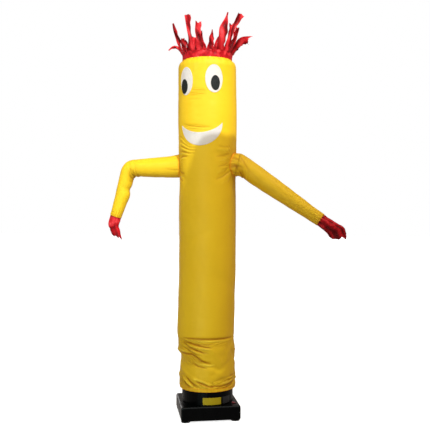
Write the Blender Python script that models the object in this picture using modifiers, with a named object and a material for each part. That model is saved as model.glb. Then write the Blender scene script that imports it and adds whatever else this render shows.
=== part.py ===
# Inflatable air dancer on its blower: a tall yellow cloth tube with a smiling face, two
# arms that end in red hands, and red cloth hair round the air vent at the top.
#
# The origin is on the floor under the middle of the blower. +Z is up and the face looks
# along -Y, with the arms along X. A turn is an angle round the tube in degrees, from 0
# at -Y through 90 at +X. Every cloth piece is one hollow sheet of even thickness.

import math
from collections import namedtuple

import bmesh
import bpy
from mathutils import Matrix, Vector

# Driving dimensions, in metres
GAP = 0.0004                    # between pieces that touch
CLOTH = 0.0015                  # a sewn sheet of the tube, the arms and the hair
PATCH = 0.0010                  # the white and black cloth of the face
HEM_HEIGHT = 0.151
SHOULDER_HEIGHT = 1.808         # where the head starts to round in
HEAD_TOP = 1.851
VENT_RADIUS = 0.131
ARM_HEIGHT = 1.307              # the middle of each sewn arm root
ARM_ROOT_RADIUS = 0.0610
ARM_HOLE_RADIUS = 0.0545        # the air hole in the tube behind each arm root
ARM_HOLE_REACH = 0.450          # its cutter runs right through the tube
ARM_ROOT_STAND_OFF = 0.0007     # clears the flats between the tube's sides
HAIR_BAND = 0.036               # the uncut strip under the streamers
HAIR_DRAW_IN = 0.002            # the band draws in a little towards its top
COLLAR_RADIUS = 0.133
COLLAR_WALL = 0.0040
COLLAR_TOP = 0.235
COLLAR_LIP = 0.0015             # the softened edge of its top
BASE_SIDE = 0.304
BASE_TOP = 0.078
BASE_ROUNDING = 0.009
PANEL_SIDE = 0.180              # the raised flat panel under it, between the feet
PANEL_PROUD = 0.0015
BLOWER_TURN = 23.0              # the blower's front looks this far round from -Y
FOOT_HEIGHT = 0.006
FOOT_RADIUS = 0.0235
FOOT_EDGE = 0.0015              # its softened lower edge
FOOT_INSET = 0.0255             # a foot's middle, in from the base's two sides
PLATE = 0.0008
PLATE_HEIGHT = 0.0355
PLATE_MIDDLE = 0.1005

# How finely the sheets are divided
TUBE_SIDES = 36
ARM_SIDES = 20
ARM_HOLE_SIDES = 24
HAND_SIDES = 16
HAIR_SIDES = 48
COLLAR_STEPS = 48
SMALL_STEPS = 24                # round the feet and the cord's gland
MERGE = 0.00005                 # pulls a turned outline's ends onto its axis

# The tube from its hem up: the radius, and how far its middle stands off the Z axis
TubeRow = namedtuple("TubeRow", "height radius shift_x shift_y")
TUBE_ROWS = [
    TubeRow(0.151, 0.1435, 0.002, -0.0080),
    TubeRow(0.172, 0.1462, 0.001, -0.0050),
    TubeRow(0.205, 0.1440, -0.001, -0.0030),
    TubeRow(0.240, 0.1440, 0.001, -0.0020),
    TubeRow(0.290, 0.1415, 0.003, 0.0000),
    TubeRow(0.322, 0.1435, 0.000, 0.0000),
    TubeRow(0.350, 0.1485, -0.004, 0.0000),
    TubeRow(0.392, 0.1470, -0.007, -0.0010),
    TubeRow(0.430, 0.1495, -0.009, -0.0010),
    TubeRow(0.600, 0.1495, -0.005, -0.0010),
    TubeRow(0.800, 0.1495, 0.000, 0.0000),
    TubeRow(1.120, 0.1495, 0.000, 0.0000),
    TubeRow(1.200, 0.1465, 0.001, 0.0000),
    TubeRow(1.307, 0.1480, 0.001, 0.0000),
    TubeRow(1.400, 0.1515, 0.001, 0.0000),
    TubeRow(1.550, 0.1535, 0.000, 0.0000),
    TubeRow(1.808, 0.1520, -0.001, 0.0000),
    TubeRow(1.851, 0.1520, -0.001, 0.0000),
]

# Where the rings of the tube's sheet lie: so many equal steps up to each height
Zone = namedtuple("Zone", "top steps")
TUBE_ZONES = [
    Zone(0.235, 6),
    Zone(0.430, 11),
    Zone(0.800, 3),
    Zone(1.180, 3),
    Zone(1.440, 7),
    Zone(1.640, 2),
    Zone(SHOULDER_HEIGHT, 2),
]
SHOULDER_STEPS = 5
NECK_HEIGHT = 0.005             # the short upright edge that carries the hair

# The main folds, each a soft ridge (depth over 0) or trough (under 0) along a line on
# the cloth, which rises by its slope in degrees as it runs round
Fold = namedtuple("Fold", "turn height slope length width depth")
FOLDS = [
    Fold(20, 0.408, 3, 0.34, 0.011, -0.0045),
    Fold(150, 0.396, -4, 0.30, 0.012, -0.0040),
    Fold(-112, 0.400, 5, 0.26, 0.012, -0.0040),
    Fold(-76, 0.342, 0, 0.10, 0.012, 0.0060),
    Fold(-66, 0.312, -9, 0.12, 0.012, -0.0070),
    Fold(-22, 0.357, -46, 0.20, 0.014, -0.0060),
    Fold(-4, 0.334, -42, 0.18, 0.013, 0.0050),
    Fold(12, 0.292, -24, 0.22, 0.014, -0.0065),
    Fold(34, 0.330, -58, 0.16, 0.014, 0.0020),
    Fold(48, 0.270, 30, 0.20, 0.014, -0.0025),
    Fold(62, 0.362, 40, 0.13, 0.013, -0.0020),
    Fold(92, 0.315, -38, 0.18, 0.014, -0.0060),
    Fold(128, 0.290, 35, 0.20, 0.014, -0.0060),
    Fold(168, 0.330, -40, 0.22, 0.015, -0.0060),
    Fold(-150, 0.300, 38, 0.20, 0.014, -0.0060),
    Fold(-108, 0.265, -34, 0.18, 0.014, -0.0060),
    Fold(-48, 0.255, -28, 0.16, 0.012, 0.0045),
    Fold(-32, 0.196, -40, 0.10, 0.010, 0.0040),
    Fold(2, 0.192, -24, 0.15, 0.010, 0.0050),
    Fold(66, 0.192, 22, 0.12, 0.010, 0.0045),
    Fold(112, 0.200, -30, 0.14, 0.011, 0.0045),
    Fold(-82, 0.204, 28, 0.12, 0.011, 0.0045),
    Fold(52, 1.262, 38, 0.16, 0.016, -0.0045),
    Fold(46, 1.345, -28, 0.13, 0.015, -0.0040),
    Fold(-50, 1.352, 12, 0.12, 0.014, -0.0035),
    Fold(-50, 1.248, -30, 0.14, 0.015, -0.0040),
    Fold(132, 1.255, -35, 0.15, 0.016, -0.0045),
    Fold(-134, 1.262, 35, 0.15, 0.016, -0.0045),
    Fold(-12, 0.930, 24, 0.28, 0.020, -0.0025),
    Fold(58, 0.700, -30, 0.26, 0.020, -0.0025),
    Fold(-150, 1.040, 20, 0.30, 0.022, -0.0030),
]

# A section across an arm or a hand: its upper (or outer) and its lower (or inner) edge
# in the plane of the arms, and its half-depth along Y
Section = namedtuple("Section", "outer_x outer_z inner_x inner_z depth")
LEFT_ARM = [
    Section(-0.2073, 1.3594, -0.2073, 1.2457, 0.0565),
    Section(-0.2751, 1.3544, -0.2751, 1.2488, 0.0530),
    Section(-0.3400, 1.3502, -0.3379, 1.2513, 0.0500),
    Section(-0.3920, 1.3464, -0.3838, 1.2535, 0.0480),
    Section(-0.4272, 1.3425, -0.4085, 1.2505, 0.0470),
    Section(-0.4530, 1.3325, -0.4160, 1.2425, 0.0460),
    Section(-0.4714, 1.3130, -0.4205, 1.2324, 0.0450),
    Section(-0.4849, 1.2855, -0.4240, 1.2190, 0.0440),
    Section(-0.4945, 1.2510, -0.4290, 1.2020, 0.0420),
    Section(-0.5024, 1.2177, -0.4400, 1.1835, 0.0400),
    Section(-0.5124, 1.1796, -0.4382, 1.1560, 0.0390),
    Section(-0.5259, 1.1279, -0.4598, 1.1010, 0.0360),
    Section(-0.5471, 1.0490, -0.4907, 1.0290, 0.0300),
]
RIGHT_ARM = [
    Section(0.1860, 1.3630, 0.1720, 1.2462, 0.0590),
    Section(0.2104, 1.3480, 0.1930, 1.2362, 0.0570),
    Section(0.2395, 1.3283, 0.2157, 1.2200, 0.0555),
    Section(0.2921, 1.2900, 0.2579, 1.1920, 0.0520),
    Section(0.3598, 1.2390, 0.3234, 1.1505, 0.0480),
    Section(0.4372, 1.1800, 0.4012, 1.1010, 0.0430),
    Section(0.5136, 1.1215, 0.4781, 1.0540, 0.0385),
    Section(0.5692, 1.0788, 0.5339, 1.0190, 0.0350),
    Section(0.6108, 1.0475, 0.5747, 0.9940, 0.0325),
]
LEFT_HAND = [
    Section(-0.5471, 1.0490, -0.4907, 1.0290, 0.0290),
    Section(-0.5560, 1.0230, -0.4970, 1.0050, 0.0250),
    Section(-0.5615, 0.9960, -0.5020, 0.9850, 0.0180),
    Section(-0.5530, 0.9680, -0.4965, 0.9640, 0.0150),
    Section(-0.5400, 0.9400, -0.4915, 0.9400, 0.0140),
]
RIGHT_HAND = [
    Section(0.6078, 1.0465, 0.5742, 0.9966, 0.0315),
    Section(0.6442, 1.0229, 0.5968, 0.9775, 0.0285),
    Section(0.6814, 0.9990, 0.6153, 0.9635, 0.0240),
    Section(0.7115, 0.9796, 0.6253, 0.9535, 0.0195),
    Section(0.7164, 0.9611, 0.6322, 0.9425, 0.0160),
]
# How far the cut fingers reach past the last section, from its outer to its inner edge
LEFT_FINGERS = (0.006, 0.009, 0.002, 0.014, 0.002, 0.024, 0.010, 0.032, 0.024)
RIGHT_FINGERS = (0.005, 0.016, 0.037, 0.019, 0.031, 0.024, 0.022, 0.010, 0.004)

# The hair, round the band: where a streamer stands, the places of its bend and its tip
# with their heights above the band, its widths there, how deep its tip is notched (or
# pointed, under 0) and the turn that its flat side has come round to
Streamer = namedtuple(
    "Streamer", "turn bend_x bend_y bend_rise tip_x tip_y tip_rise bend_width tip_width notch face"
)
STREAMERS = [
    Streamer(-90.0, -0.164, -0.013, 0.047, -0.204, -0.034, 0.029, 0.019, 0.007, 0.000, -165),
    Streamer(-67.5, -0.147, -0.060, 0.085, -0.166, -0.075, 0.159, 0.031, 0.010, 0.000, 0),
    Streamer(-45.0, -0.095, -0.108, 0.038, -0.096, -0.129, 0.067, 0.043, 0.026, 0.010, -20),
    Streamer(-22.5, -0.063, -0.120, 0.095, -0.078, -0.104, 0.188, 0.020, 0.033, -0.005, 5),
    Streamer(0.0, -0.011, -0.132, 0.073, -0.015, -0.118, 0.149, 0.028, 0.033, 0.010, 25),
    Streamer(22.5, 0.056, -0.125, 0.048, 0.064, -0.138, 0.094, 0.025, 0.006, 0.000, 10),
    Streamer(45.0, 0.110, -0.095, 0.092, 0.128, -0.069, 0.196, 0.045, 0.008, 0.000, 20),
    Streamer(67.5, 0.142, -0.024, 0.111, 0.183, -0.003, 0.198, 0.018, 0.034, -0.005, 15),
    Streamer(90.0, 0.178, 0.006, 0.058, 0.231, 0.000, 0.062, 0.038, 0.044, 0.016, 15),
    Streamer(112.5, 0.137, 0.068, 0.034, 0.158, 0.084, 0.060, 0.026, 0.014, 0.000, 60),
    Streamer(135.0, 0.121, 0.110, 0.106, 0.140, 0.105, 0.165, 0.028, 0.018, 0.005, 180),
    Streamer(157.5, 0.088, 0.132, 0.122, 0.101, 0.120, 0.195, 0.024, 0.024, 0.010, 190),
    Streamer(180.0, -0.012, 0.168, 0.060, -0.020, 0.222, 0.092, 0.026, 0.021, 0.010, 180),
    Streamer(-157.5, -0.069, 0.116, 0.101, -0.074, 0.104, 0.161, 0.033, 0.026, 0.010, -165),
    Streamer(-135.0, -0.107, 0.106, 0.085, -0.114, 0.125, 0.136, 0.036, 0.026, 0.005, -150),
    Streamer(-112.5, -0.146, 0.054, 0.070, -0.170, 0.079, 0.110, 0.034, 0.021, 0.005, -140),
]
STREAMER_ROOT = 0.034
STREAMER_STEPS = 6
STREAMER_RIDGE = 0.12           # how far its middle stands out, as a share of its width
STREAMER_WEAR = 0.09            # how far its torn edges wander, as a share of its width
WEAR_STEP = 2.4                 # radians of that wandering between two rows
BAND_STEPS = 2

# The face: the middle and half-size of each oval, and how far its sheet stands proud
Oval = namedtuple("Oval", "name turn height half_turn half_height proud")
OVALS = [
    Oval("eye_white_right", 29.0, 1.7360, 17.4, 0.0715, 0.0005),
    Oval("eye_white_left", -29.5, 1.7290, 16.4, 0.0720, 0.0005),
    Oval("pupil_right", 31.3, 1.7145, 8.8, 0.0385, 0.0022),
    Oval("pupil_left", -33.5, 1.7030, 8.8, 0.0380, 0.0022),
]
OVAL_POINTS = 20
OVAL_RINGS = 3
MOUTH_LEFT_TURN = -41.0
MOUTH_RIGHT_TURN = 45.0
MOUTH_TIP_HEIGHT = 1.508
MOUTH_TIP_RISE = 0.006          # its right tip stands higher by this, its left one lower
MOUTH_UPPER_DIP = 0.0440        # from the tips down to its upper edge, in the middle
MOUTH_LOWER_DIP = 0.1040
MOUTH_UPPER_CURVE = 0.95        # 0.5 is half an ellipse, 1 a parabola
MOUTH_LOWER_CURVE = 0.56
MOUTH_TIP = 0.003               # the half-height left at a tip
MOUTH_PROUD = 0.0005
MOUTH_COLUMNS = 22
MOUTH_STEPS = 3

# The blank plates on the collar: the middle turn and half the width round it
Plate = namedtuple("Plate", "name turn half_turn slot")
PLATES = [
    Plate("collar_plate_front", 26.0, 20.5, "plate_yellow"),
    Plate("collar_plate_side", 62.0, 11.0, "plate_grey"),
]
PLATE_COLUMNS = 8

# The rocker switch on the base, in the blower's own directions
SWITCH_X = 0.1225
SWITCH_Y = -0.0950
SWITCH_LENGTH = 0.0180          # along the blower's X
SWITCH_WIDTH = 0.0125
SWITCH_PLAY = 0.0006
BEZEL_WALL = 0.0032
BEZEL_HEIGHT = 0.0022
BEZEL_ROUNDING = 0.0006
POCKET_DEPTH = 0.0090
PIVOT_HEIGHT = BASE_TOP + 0.0012
ROCKER_TILT = 10.0              # it rests pressed down at its right end
RockerPoint = namedtuple("RockerPoint", "along height")
ROCKER_OUTLINE = [              # its side, about the pivot
    RockerPoint(-0.0081, -0.0028),
    RockerPoint(0.0081, -0.0028),
    RockerPoint(0.0086, 0.0042),
    RockerPoint(0.0, 0.0030),
    RockerPoint(-0.0086, 0.0042),
]

# The cord's gland on the back of the base: its place and its outline from the outer end
GLAND_X = -0.060
GLAND_HEIGHT = 0.036
GlandPoint = namedtuple("GlandPoint", "radius length")
GLAND_OUTLINE = [
    GlandPoint(0.0, 0.0120),
    GlandPoint(0.0077, 0.0120),
    GlandPoint(0.0088, 0.0048),
    GlandPoint(0.0110, 0.0036),
    GlandPoint(0.0110, 0.0),
    GlandPoint(0.0, 0.0),
]

COLOURS = {
    "cloth_yellow": ((0.90, 0.62, 0.03), 0.45, 0.0),
    "cloth_red": ((0.72, 0.02, 0.03), 0.50, 0.0),
    "cloth_white": ((0.86, 0.84, 0.78), 0.60, 0.0),
    "cloth_black": ((0.02, 0.02, 0.02), 0.60, 0.0),
    "housing_black": ((0.010, 0.010, 0.011), 0.28, 0.0),
    "plate_yellow": ((0.55, 0.42, 0.02), 0.40, 0.0),
    "plate_grey": ((0.035, 0.035, 0.036), 0.45, 0.0),
    "switch_red": ((0.45, 0.01, 0.03), 0.30, 0.0),
    "switch_black": ((0.012, 0.012, 0.012), 0.40, 0.0),
    "foot_rubber": ((0.015, 0.015, 0.015), 0.75, 0.0),
}


def clear_scene():
    for old in list(bpy.data.objects):
        bpy.data.objects.remove(old, do_unlink=True)


def new_collection(name):
    collection = bpy.data.collections.new(name)
    bpy.context.scene.collection.children.link(collection)
    return collection


def material(slot):
    found = bpy.data.materials.get(slot)
    if found:
        return found
    colour, roughness, metallic = COLOURS[slot]
    made = bpy.data.materials.new(slot)
    made.use_nodes = True
    shader = made.node_tree.nodes["Principled BSDF"]
    shader.inputs["Base Color"].default_value = (*colour, 1.0)
    shader.inputs["Roughness"].default_value = roughness
    shader.inputs["Metallic"].default_value = metallic
    return made


def mesh_object(name, bm, slot=None, place=None):
    """The bmesh as a named object of the part, or as a hidden helper if it has no slot."""
    mesh = bpy.data.meshes.new(name)
    bm.to_mesh(mesh)
    bm.free()
    made = bpy.data.objects.new(name, mesh)
    made.matrix_world = place or Matrix.Identity(4)
    if slot:
        mesh.materials.append(material(slot))
        mesh.shade_smooth()
        mesh.set_sharp_from_angle(angle=math.radians(40))
        dancer.objects.link(made)
    else:
        made.hide_render = True
        made.display_type = "WIRE"
        helpers.objects.link(made)
    return made


def add_solidify(obj, thickness, offset):
    solid = obj.modifiers.new("cloth", "SOLIDIFY")
    solid.thickness = thickness
    solid.offset = offset
    solid.use_even_offset = False


def add_boolean(obj, other, operation="DIFFERENCE"):
    """Cuts the hidden shape out of the object, or joins it on with "UNION"."""
    boolean = obj.modifiers.new(operation.lower(), "BOOLEAN")
    boolean.operation = operation
    boolean.solver = "EXACT"
    boolean.object = other


def strip_faces(bm, rings, closed):
    """Quads between each two neighbouring rings of vertices, which all run the same way."""
    for lower, upper in zip(rings, rings[1:]):
        count = len(lower)
        for n in range(count if closed else count - 1):
            after = (n + 1) % count
            bm.faces.new((lower[n], lower[after], upper[after], upper[n]))


def sheet(rings, closed=True):
    """An open surface through rings of points. A ring runs anticlockwise seen from its end."""
    bm = bmesh.new()
    strip_faces(bm, [[bm.verts.new(point) for point in ring] for ring in rings], closed)
    return bm


def eased(share):
    return share * share * (3.0 - 2.0 * share)


def tube_row(height):
    """The tube's radius and middle at a height, eased between the rows of the table."""
    height = min(max(height, TUBE_ROWS[0].height), TUBE_ROWS[-1].height)
    for low, high in zip(TUBE_ROWS, TUBE_ROWS[1:]):
        if height <= high.height:
            break
    share = eased((height - low.height) / (high.height - low.height))
    return TubeRow(*(a + share * (b - a) for a, b in zip(low, high)))


def tube_radius(height):
    """The radius of the smooth tube, which rounds in to the vent above the shoulder."""
    radius = tube_row(height).radius
    rounding = HEAD_TOP - NECK_HEIGHT - SHOULDER_HEIGHT
    share = min(max((height - SHOULDER_HEIGHT) / rounding, 0.0), 1.0)
    return VENT_RADIUS + (radius - VENT_RADIUS) * math.sqrt(1.0 - share * share)


def fold_depth(turn, height):
    """How far the folds push the cloth out at one place."""
    depth = 0.0
    for fold in FOLDS:
        away = math.radians((turn - fold.turn + 180.0) % 360.0 - 180.0) * tube_row(height).radius
        rise = height - fold.height
        slope = math.radians(fold.slope)
        along = away * math.cos(slope) + rise * math.sin(slope)
        across = rise * math.cos(slope) - away * math.sin(slope)
        window = max(1.0 - (2.0 * along / fold.length) ** 2, 0.0)
        depth += fold.depth * eased(window) * math.exp(-((across / fold.width) ** 2))
    return depth


def on_tube(turn, height, proud=0.0):
    """The point on the tube's outer side at a turn and a height, standing off by proud."""
    row = tube_row(height)
    radius = tube_radius(height) + fold_depth(turn, height) + proud
    angle = math.radians(turn)
    return Vector((
        row.shift_x + radius * math.sin(angle),
        row.shift_y - radius * math.cos(angle),
        height,
    ))


def tube_heights():
    heights = [HEM_HEIGHT]
    for zone in TUBE_ZONES:
        start = heights[-1]
        heights += [start + (zone.top - start) * n / zone.steps for n in range(1, zone.steps + 1)]
    rounding = HEAD_TOP - NECK_HEIGHT - SHOULDER_HEIGHT
    for n in range(1, SHOULDER_STEPS + 1):
        rise = math.sin(math.radians(90.0 * n / SHOULDER_STEPS))
        heights.append(SHOULDER_HEIGHT + rounding * rise)
    return heights + [HEAD_TOP]


def make_body():
    """The tall tube, from its hem over the collar to the vent, with a hole behind each arm."""
    turns = [360.0 * n / TUBE_SIDES for n in range(TUBE_SIDES)]
    rings = [[on_tube(turn, height) for turn in turns] for height in tube_heights()]
    body = mesh_object("body", sheet(rings), "cloth_yellow")
    add_solidify(body, CLOTH, -1.0)
    bm = bmesh.new()
    bmesh.ops.create_cone(
        bm,
        cap_ends=True,
        segments=ARM_HOLE_SIDES,
        radius1=ARM_HOLE_RADIUS,
        radius2=ARM_HOLE_RADIUS,
        depth=ARM_HOLE_REACH,
    )
    place = Matrix.Translation((0.0, 0.0, ARM_HEIGHT)) @ Matrix.Rotation(math.radians(90), 4, "Y")
    add_boolean(body, mesh_object("arm_hole_cutter", bm, place=place))


def section_ring(section, sides, side):
    """The points round a section, from its outer edge, and its outward direction."""
    outer = Vector((section.outer_x, 0.0, section.outer_z))
    inner = Vector((section.inner_x, 0.0, section.inner_z))
    middle = (outer + inner) / 2.0
    half = (outer - inner) / 2.0
    depth = Vector((0.0, -side * section.depth, 0.0))
    angles = [math.tau * n / sides for n in range(sides)]
    return [middle + half * math.cos(angle) + depth * math.sin(angle) for angle in angles]


def root_ring(side, sides):
    """The arm's first ring, which lies all round on the tube's curved skin."""
    ring = []
    for n in range(sides):
        angle = math.tau * n / sides
        height = ARM_HEIGHT + ARM_ROOT_RADIUS * math.cos(angle)
        across = -side * ARM_ROOT_RADIUS * math.sin(angle)
        turn = side * 90.0
        for _ in range(4):
            point = on_tube(turn, height, ARM_ROOT_STAND_OFF)
            middle_y = tube_row(height).shift_y
            radius = (point - Vector((tube_row(height).shift_x, middle_y, height))).length
            turn = side * (90.0 + math.degrees(math.asin((across - middle_y) / radius)))
        ring.append(Vector((point.x, across, height)))
    return ring


def make_arm(name, sections, side):
    rings = [root_ring(side, ARM_SIDES)]
    rings += [section_ring(section, ARM_SIDES, side) for section in sections]
    arm = mesh_object(name, sheet(rings), "cloth_yellow")
    add_solidify(arm, CLOTH, 1.0)


def make_hand(name, sections, fingers, side):
    """A flattened cloth mitt with its end cut into short fingers."""
    rings = [section_ring(section, HAND_SIDES, side) for section in sections]
    start = sum(rings[0], Vector()) / HAND_SIDES
    end = sum(rings[-1], Vector()) / HAND_SIDES
    out = (sum(rings[1], Vector()) / HAND_SIDES - start).normalized()
    rings[0] = [point + out * GAP for point in rings[0]]
    along = (end - sum(rings[-2], Vector()) / HAND_SIDES).normalized()
    tips = []
    for n, point in enumerate(rings[-1]):
        place = min(n, HAND_SIDES - n)
        tips.append(point + along * fingers[place])
    rings.append(tips)
    hand = mesh_object(name, sheet(rings), "cloth_red")
    add_solidify(hand, CLOTH, -1.0)


def streamer_rows(streamer, base):
    """The rows of points up one torn streamer, on a curve from its root over its bend."""
    bend = base + Vector((0.0, 0.0, streamer.bend_rise))
    bend.x, bend.y = streamer.bend_x, streamer.bend_y
    tip = base + Vector((0.0, 0.0, streamer.tip_rise))
    tip.x, tip.y = streamer.tip_x, streamer.tip_y
    pull = 2.0 * bend - (base + tip) / 2.0
    rows = []
    for n in range(1, STREAMER_STEPS + 1):
        share = n / STREAMER_STEPS
        middle = base.lerp(pull, share).lerp(pull.lerp(tip, share), share)
        along = (pull - base).lerp(tip - pull, share).normalized()
        face = math.radians(streamer.turn + (streamer.face - streamer.turn) * share)
        outward = Vector((math.sin(face), -math.cos(face), 0.0))
        sideways = along.cross(outward).normalized()
        if share < 0.5:
            width = STREAMER_ROOT + (streamer.bend_width - STREAMER_ROOT) * eased(2.0 * share)
        else:
            narrowing = streamer.tip_width - streamer.bend_width
            width = streamer.bend_width + narrowing * eased(2.0 * share - 1.0)
        wander = WEAR_STEP * n + math.radians(streamer.turn)
        left = width * (0.5 + STREAMER_WEAR * math.sin(wander))
        right = width * (0.5 + STREAMER_WEAR * math.sin(2.0 * wander))
        notch = streamer.notch if n == STREAMER_STEPS else 0.0
        rows.append([
            middle - sideways * left,
            middle + outward * STREAMER_RIDGE * width - along * notch,
            middle + sideways * right,
        ])
    return rows


def make_hair():
    """An uncut band on the vent's edge, with a streamer over two of every three steps."""
    bottom = HEAD_TOP + GAP
    row = tube_row(HEAD_TOP)
    step = 360.0 / HAIR_SIDES
    turns = [STREAMERS[0].turn + step * (n - 1) for n in range(HAIR_SIDES)]
    rings = []
    for n in range(BAND_STEPS + 1):
        radius = VENT_RADIUS - HAIR_DRAW_IN * n / BAND_STEPS
        rings.append([
            Vector((
                row.shift_x + radius * math.sin(math.radians(turn)),
                row.shift_y - radius * math.cos(math.radians(turn)),
                bottom + HAIR_BAND * n / BAND_STEPS,
            ))
            for turn in turns
        ])
    bm = bmesh.new()
    band = [[bm.verts.new(point) for point in ring] for ring in rings]
    strip_faces(bm, band, closed=True)
    for n, streamer in enumerate(STREAMERS):
        root = band[-1][3 * n:3 * n + 3]
        rows = streamer_rows(streamer, root[1].co.copy())
        strip = [root] + [[bm.verts.new(point) for point in points] for points in rows]
        strip_faces(bm, strip, closed=False)
    hair = mesh_object("hair", bm, "cloth_red")
    add_solidify(hair, CLOTH, -1.0)


def make_oval(oval, slot):
    """An eye's white or its pupil: rings of points round a middle one, on the tube's skin."""
    bm = bmesh.new()
    middle = bm.verts.new(on_tube(oval.turn, oval.height, oval.proud))
    rings = []
    for ring in range(1, OVAL_RINGS + 1):
        share = ring / OVAL_RINGS
        points = []
        for n in range(OVAL_POINTS):
            angle = math.tau * n / OVAL_POINTS
            turn = oval.turn + oval.half_turn * share * math.cos(angle)
            height = oval.height + oval.half_height * share * math.sin(angle)
            points.append(bm.verts.new(on_tube(turn, height, oval.proud)))
        rings.append(points)
    strip_faces(bm, rings[::-1], closed=True)
    for n in range(OVAL_POINTS):
        bm.faces.new((middle, rings[0][n], rings[0][(n + 1) % OVAL_POINTS]))
    bmesh.ops.recalc_face_normals(bm, faces=bm.faces)
    made = mesh_object(oval.name, bm, slot)
    add_solidify(made, PATCH, outward_offset(made, oval.turn))


def outward_offset(obj, turn):
    """1 if the sheet's first face looks away from the tube, and -1 if it looks inwards."""
    outward = Vector((math.sin(math.radians(turn)), -math.cos(math.radians(turn)), 0.0))
    return 1.0 if obj.data.polygons[0].normal.dot(outward) > 0.0 else -1.0


def make_mouth():
    """A white crescent: its tips stand high and its middle is the widest."""
    middle_turn = (MOUTH_LEFT_TURN + MOUTH_RIGHT_TURN) / 2.0
    half_turn = (MOUTH_RIGHT_TURN - MOUTH_LEFT_TURN) / 2.0
    columns = []
    for n in range(MOUTH_COLUMNS + 1):
        across = -math.cos(math.pi * n / MOUTH_COLUMNS)
        dip = max(1.0 - across * across, 0.0)
        tip = MOUTH_TIP_HEIGHT + MOUTH_TIP_RISE * across
        upper = tip + MOUTH_TIP - MOUTH_UPPER_DIP * dip ** MOUTH_UPPER_CURVE
        lower = tip - MOUTH_TIP - MOUTH_LOWER_DIP * dip ** MOUTH_LOWER_CURVE
        turn = middle_turn + half_turn * across
        columns.append([
            on_tube(turn, lower + (upper - lower) * step / MOUTH_STEPS, MOUTH_PROUD)
            for step in range(MOUTH_STEPS + 1)
        ])
    mouth = mesh_object("mouth", sheet(columns, closed=False), "cloth_white")
    add_solidify(mouth, PATCH, outward_offset(mouth, MOUTH_LEFT_TURN))


def turned(name, profile, slot, place, steps, closed=False):
    """A round piece about Z from (radius, height) points: a closed outline has a hole."""
    bm = bmesh.new()
    points = [bm.verts.new((radius, 0.0, height)) for radius, height in profile]
    for first, second in zip(points, points[1:] + points[:1] if closed else points[1:]):
        bm.edges.new((first, second))
    made = mesh_object(name, bm, slot, place)
    screw = made.modifiers.new("turned", "SCREW")
    screw.steps = steps
    screw.render_steps = steps
    screw.use_merge_vertices = True
    screw.merge_threshold = MERGE
    return made


def make_collar():
    """The blower's round outlet, open at the top, which the hem is pulled over."""
    inside = COLLAR_RADIUS - COLLAR_WALL
    low = BASE_TOP + GAP
    profile = [
        (inside + COLLAR_LIP, COLLAR_TOP),
        (COLLAR_RADIUS - COLLAR_LIP, COLLAR_TOP),
        (COLLAR_RADIUS, COLLAR_TOP - COLLAR_LIP),
        (COLLAR_RADIUS, low),
        (inside, low),
        (inside, COLLAR_TOP - COLLAR_LIP),
    ]
    turned("collar", profile, "housing_black", blower, COLLAR_STEPS, closed=True)


def make_feet():
    """Four round rubber feet with a softened lower edge."""
    top = FOOT_HEIGHT - GAP
    profile = [
        (0.0, top),
        (FOOT_RADIUS, top),
        (FOOT_RADIUS, FOOT_EDGE),
        (FOOT_RADIUS - FOOT_EDGE, 0.0),
        (0.0, 0.0),
    ]
    reach = BASE_SIDE / 2.0 - FOOT_INSET
    for name, x, y in (
        ("foot_front_left", -reach, -reach),
        ("foot_front_right", reach, -reach),
        ("foot_back_left", -reach, reach),
        ("foot_back_right", reach, reach),
    ):
        place = blower @ Matrix.Translation((x, y, 0.0))
        turned(name, profile, "foot_rubber", place, SMALL_STEPS)


def box(size, middle):
    """A bmesh box of a size about a middle point."""
    bm = bmesh.new()
    bmesh.ops.create_cube(bm, size=1.0)
    bmesh.ops.scale(bm, vec=size, verts=bm.verts)
    bmesh.ops.translate(bm, vec=middle, verts=bm.verts)
    return bm


def add_rounding(obj, width, segments):
    bevel = obj.modifiers.new("rounding", "BEVEL")
    bevel.width = width
    bevel.segments = segments


def make_base():
    """The square housing, with a flat panel underneath and a pocket for the switch."""
    height = BASE_TOP - FOOT_HEIGHT
    size = (BASE_SIDE, BASE_SIDE, height)
    base = mesh_object("base", box(size, (0.0, 0.0, FOOT_HEIGHT + height / 2.0)),
                       "housing_black", blower)
    add_rounding(base, BASE_ROUNDING, 3)
    panel = box((PANEL_SIDE, PANEL_SIDE, 2.0 * PANEL_PROUD), (0.0, 0.0, FOOT_HEIGHT))
    add_boolean(base, mesh_object("underside_panel", panel, place=blower), "UNION")
    pocket = box(
        (SWITCH_LENGTH + 2.0 * SWITCH_PLAY, SWITCH_WIDTH + 2.0 * SWITCH_PLAY, 2.0 * POCKET_DEPTH),
        (SWITCH_X, SWITCH_Y, BASE_TOP),
    )
    add_boolean(base, mesh_object("switch_pocket_cutter", pocket, place=blower))


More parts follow.
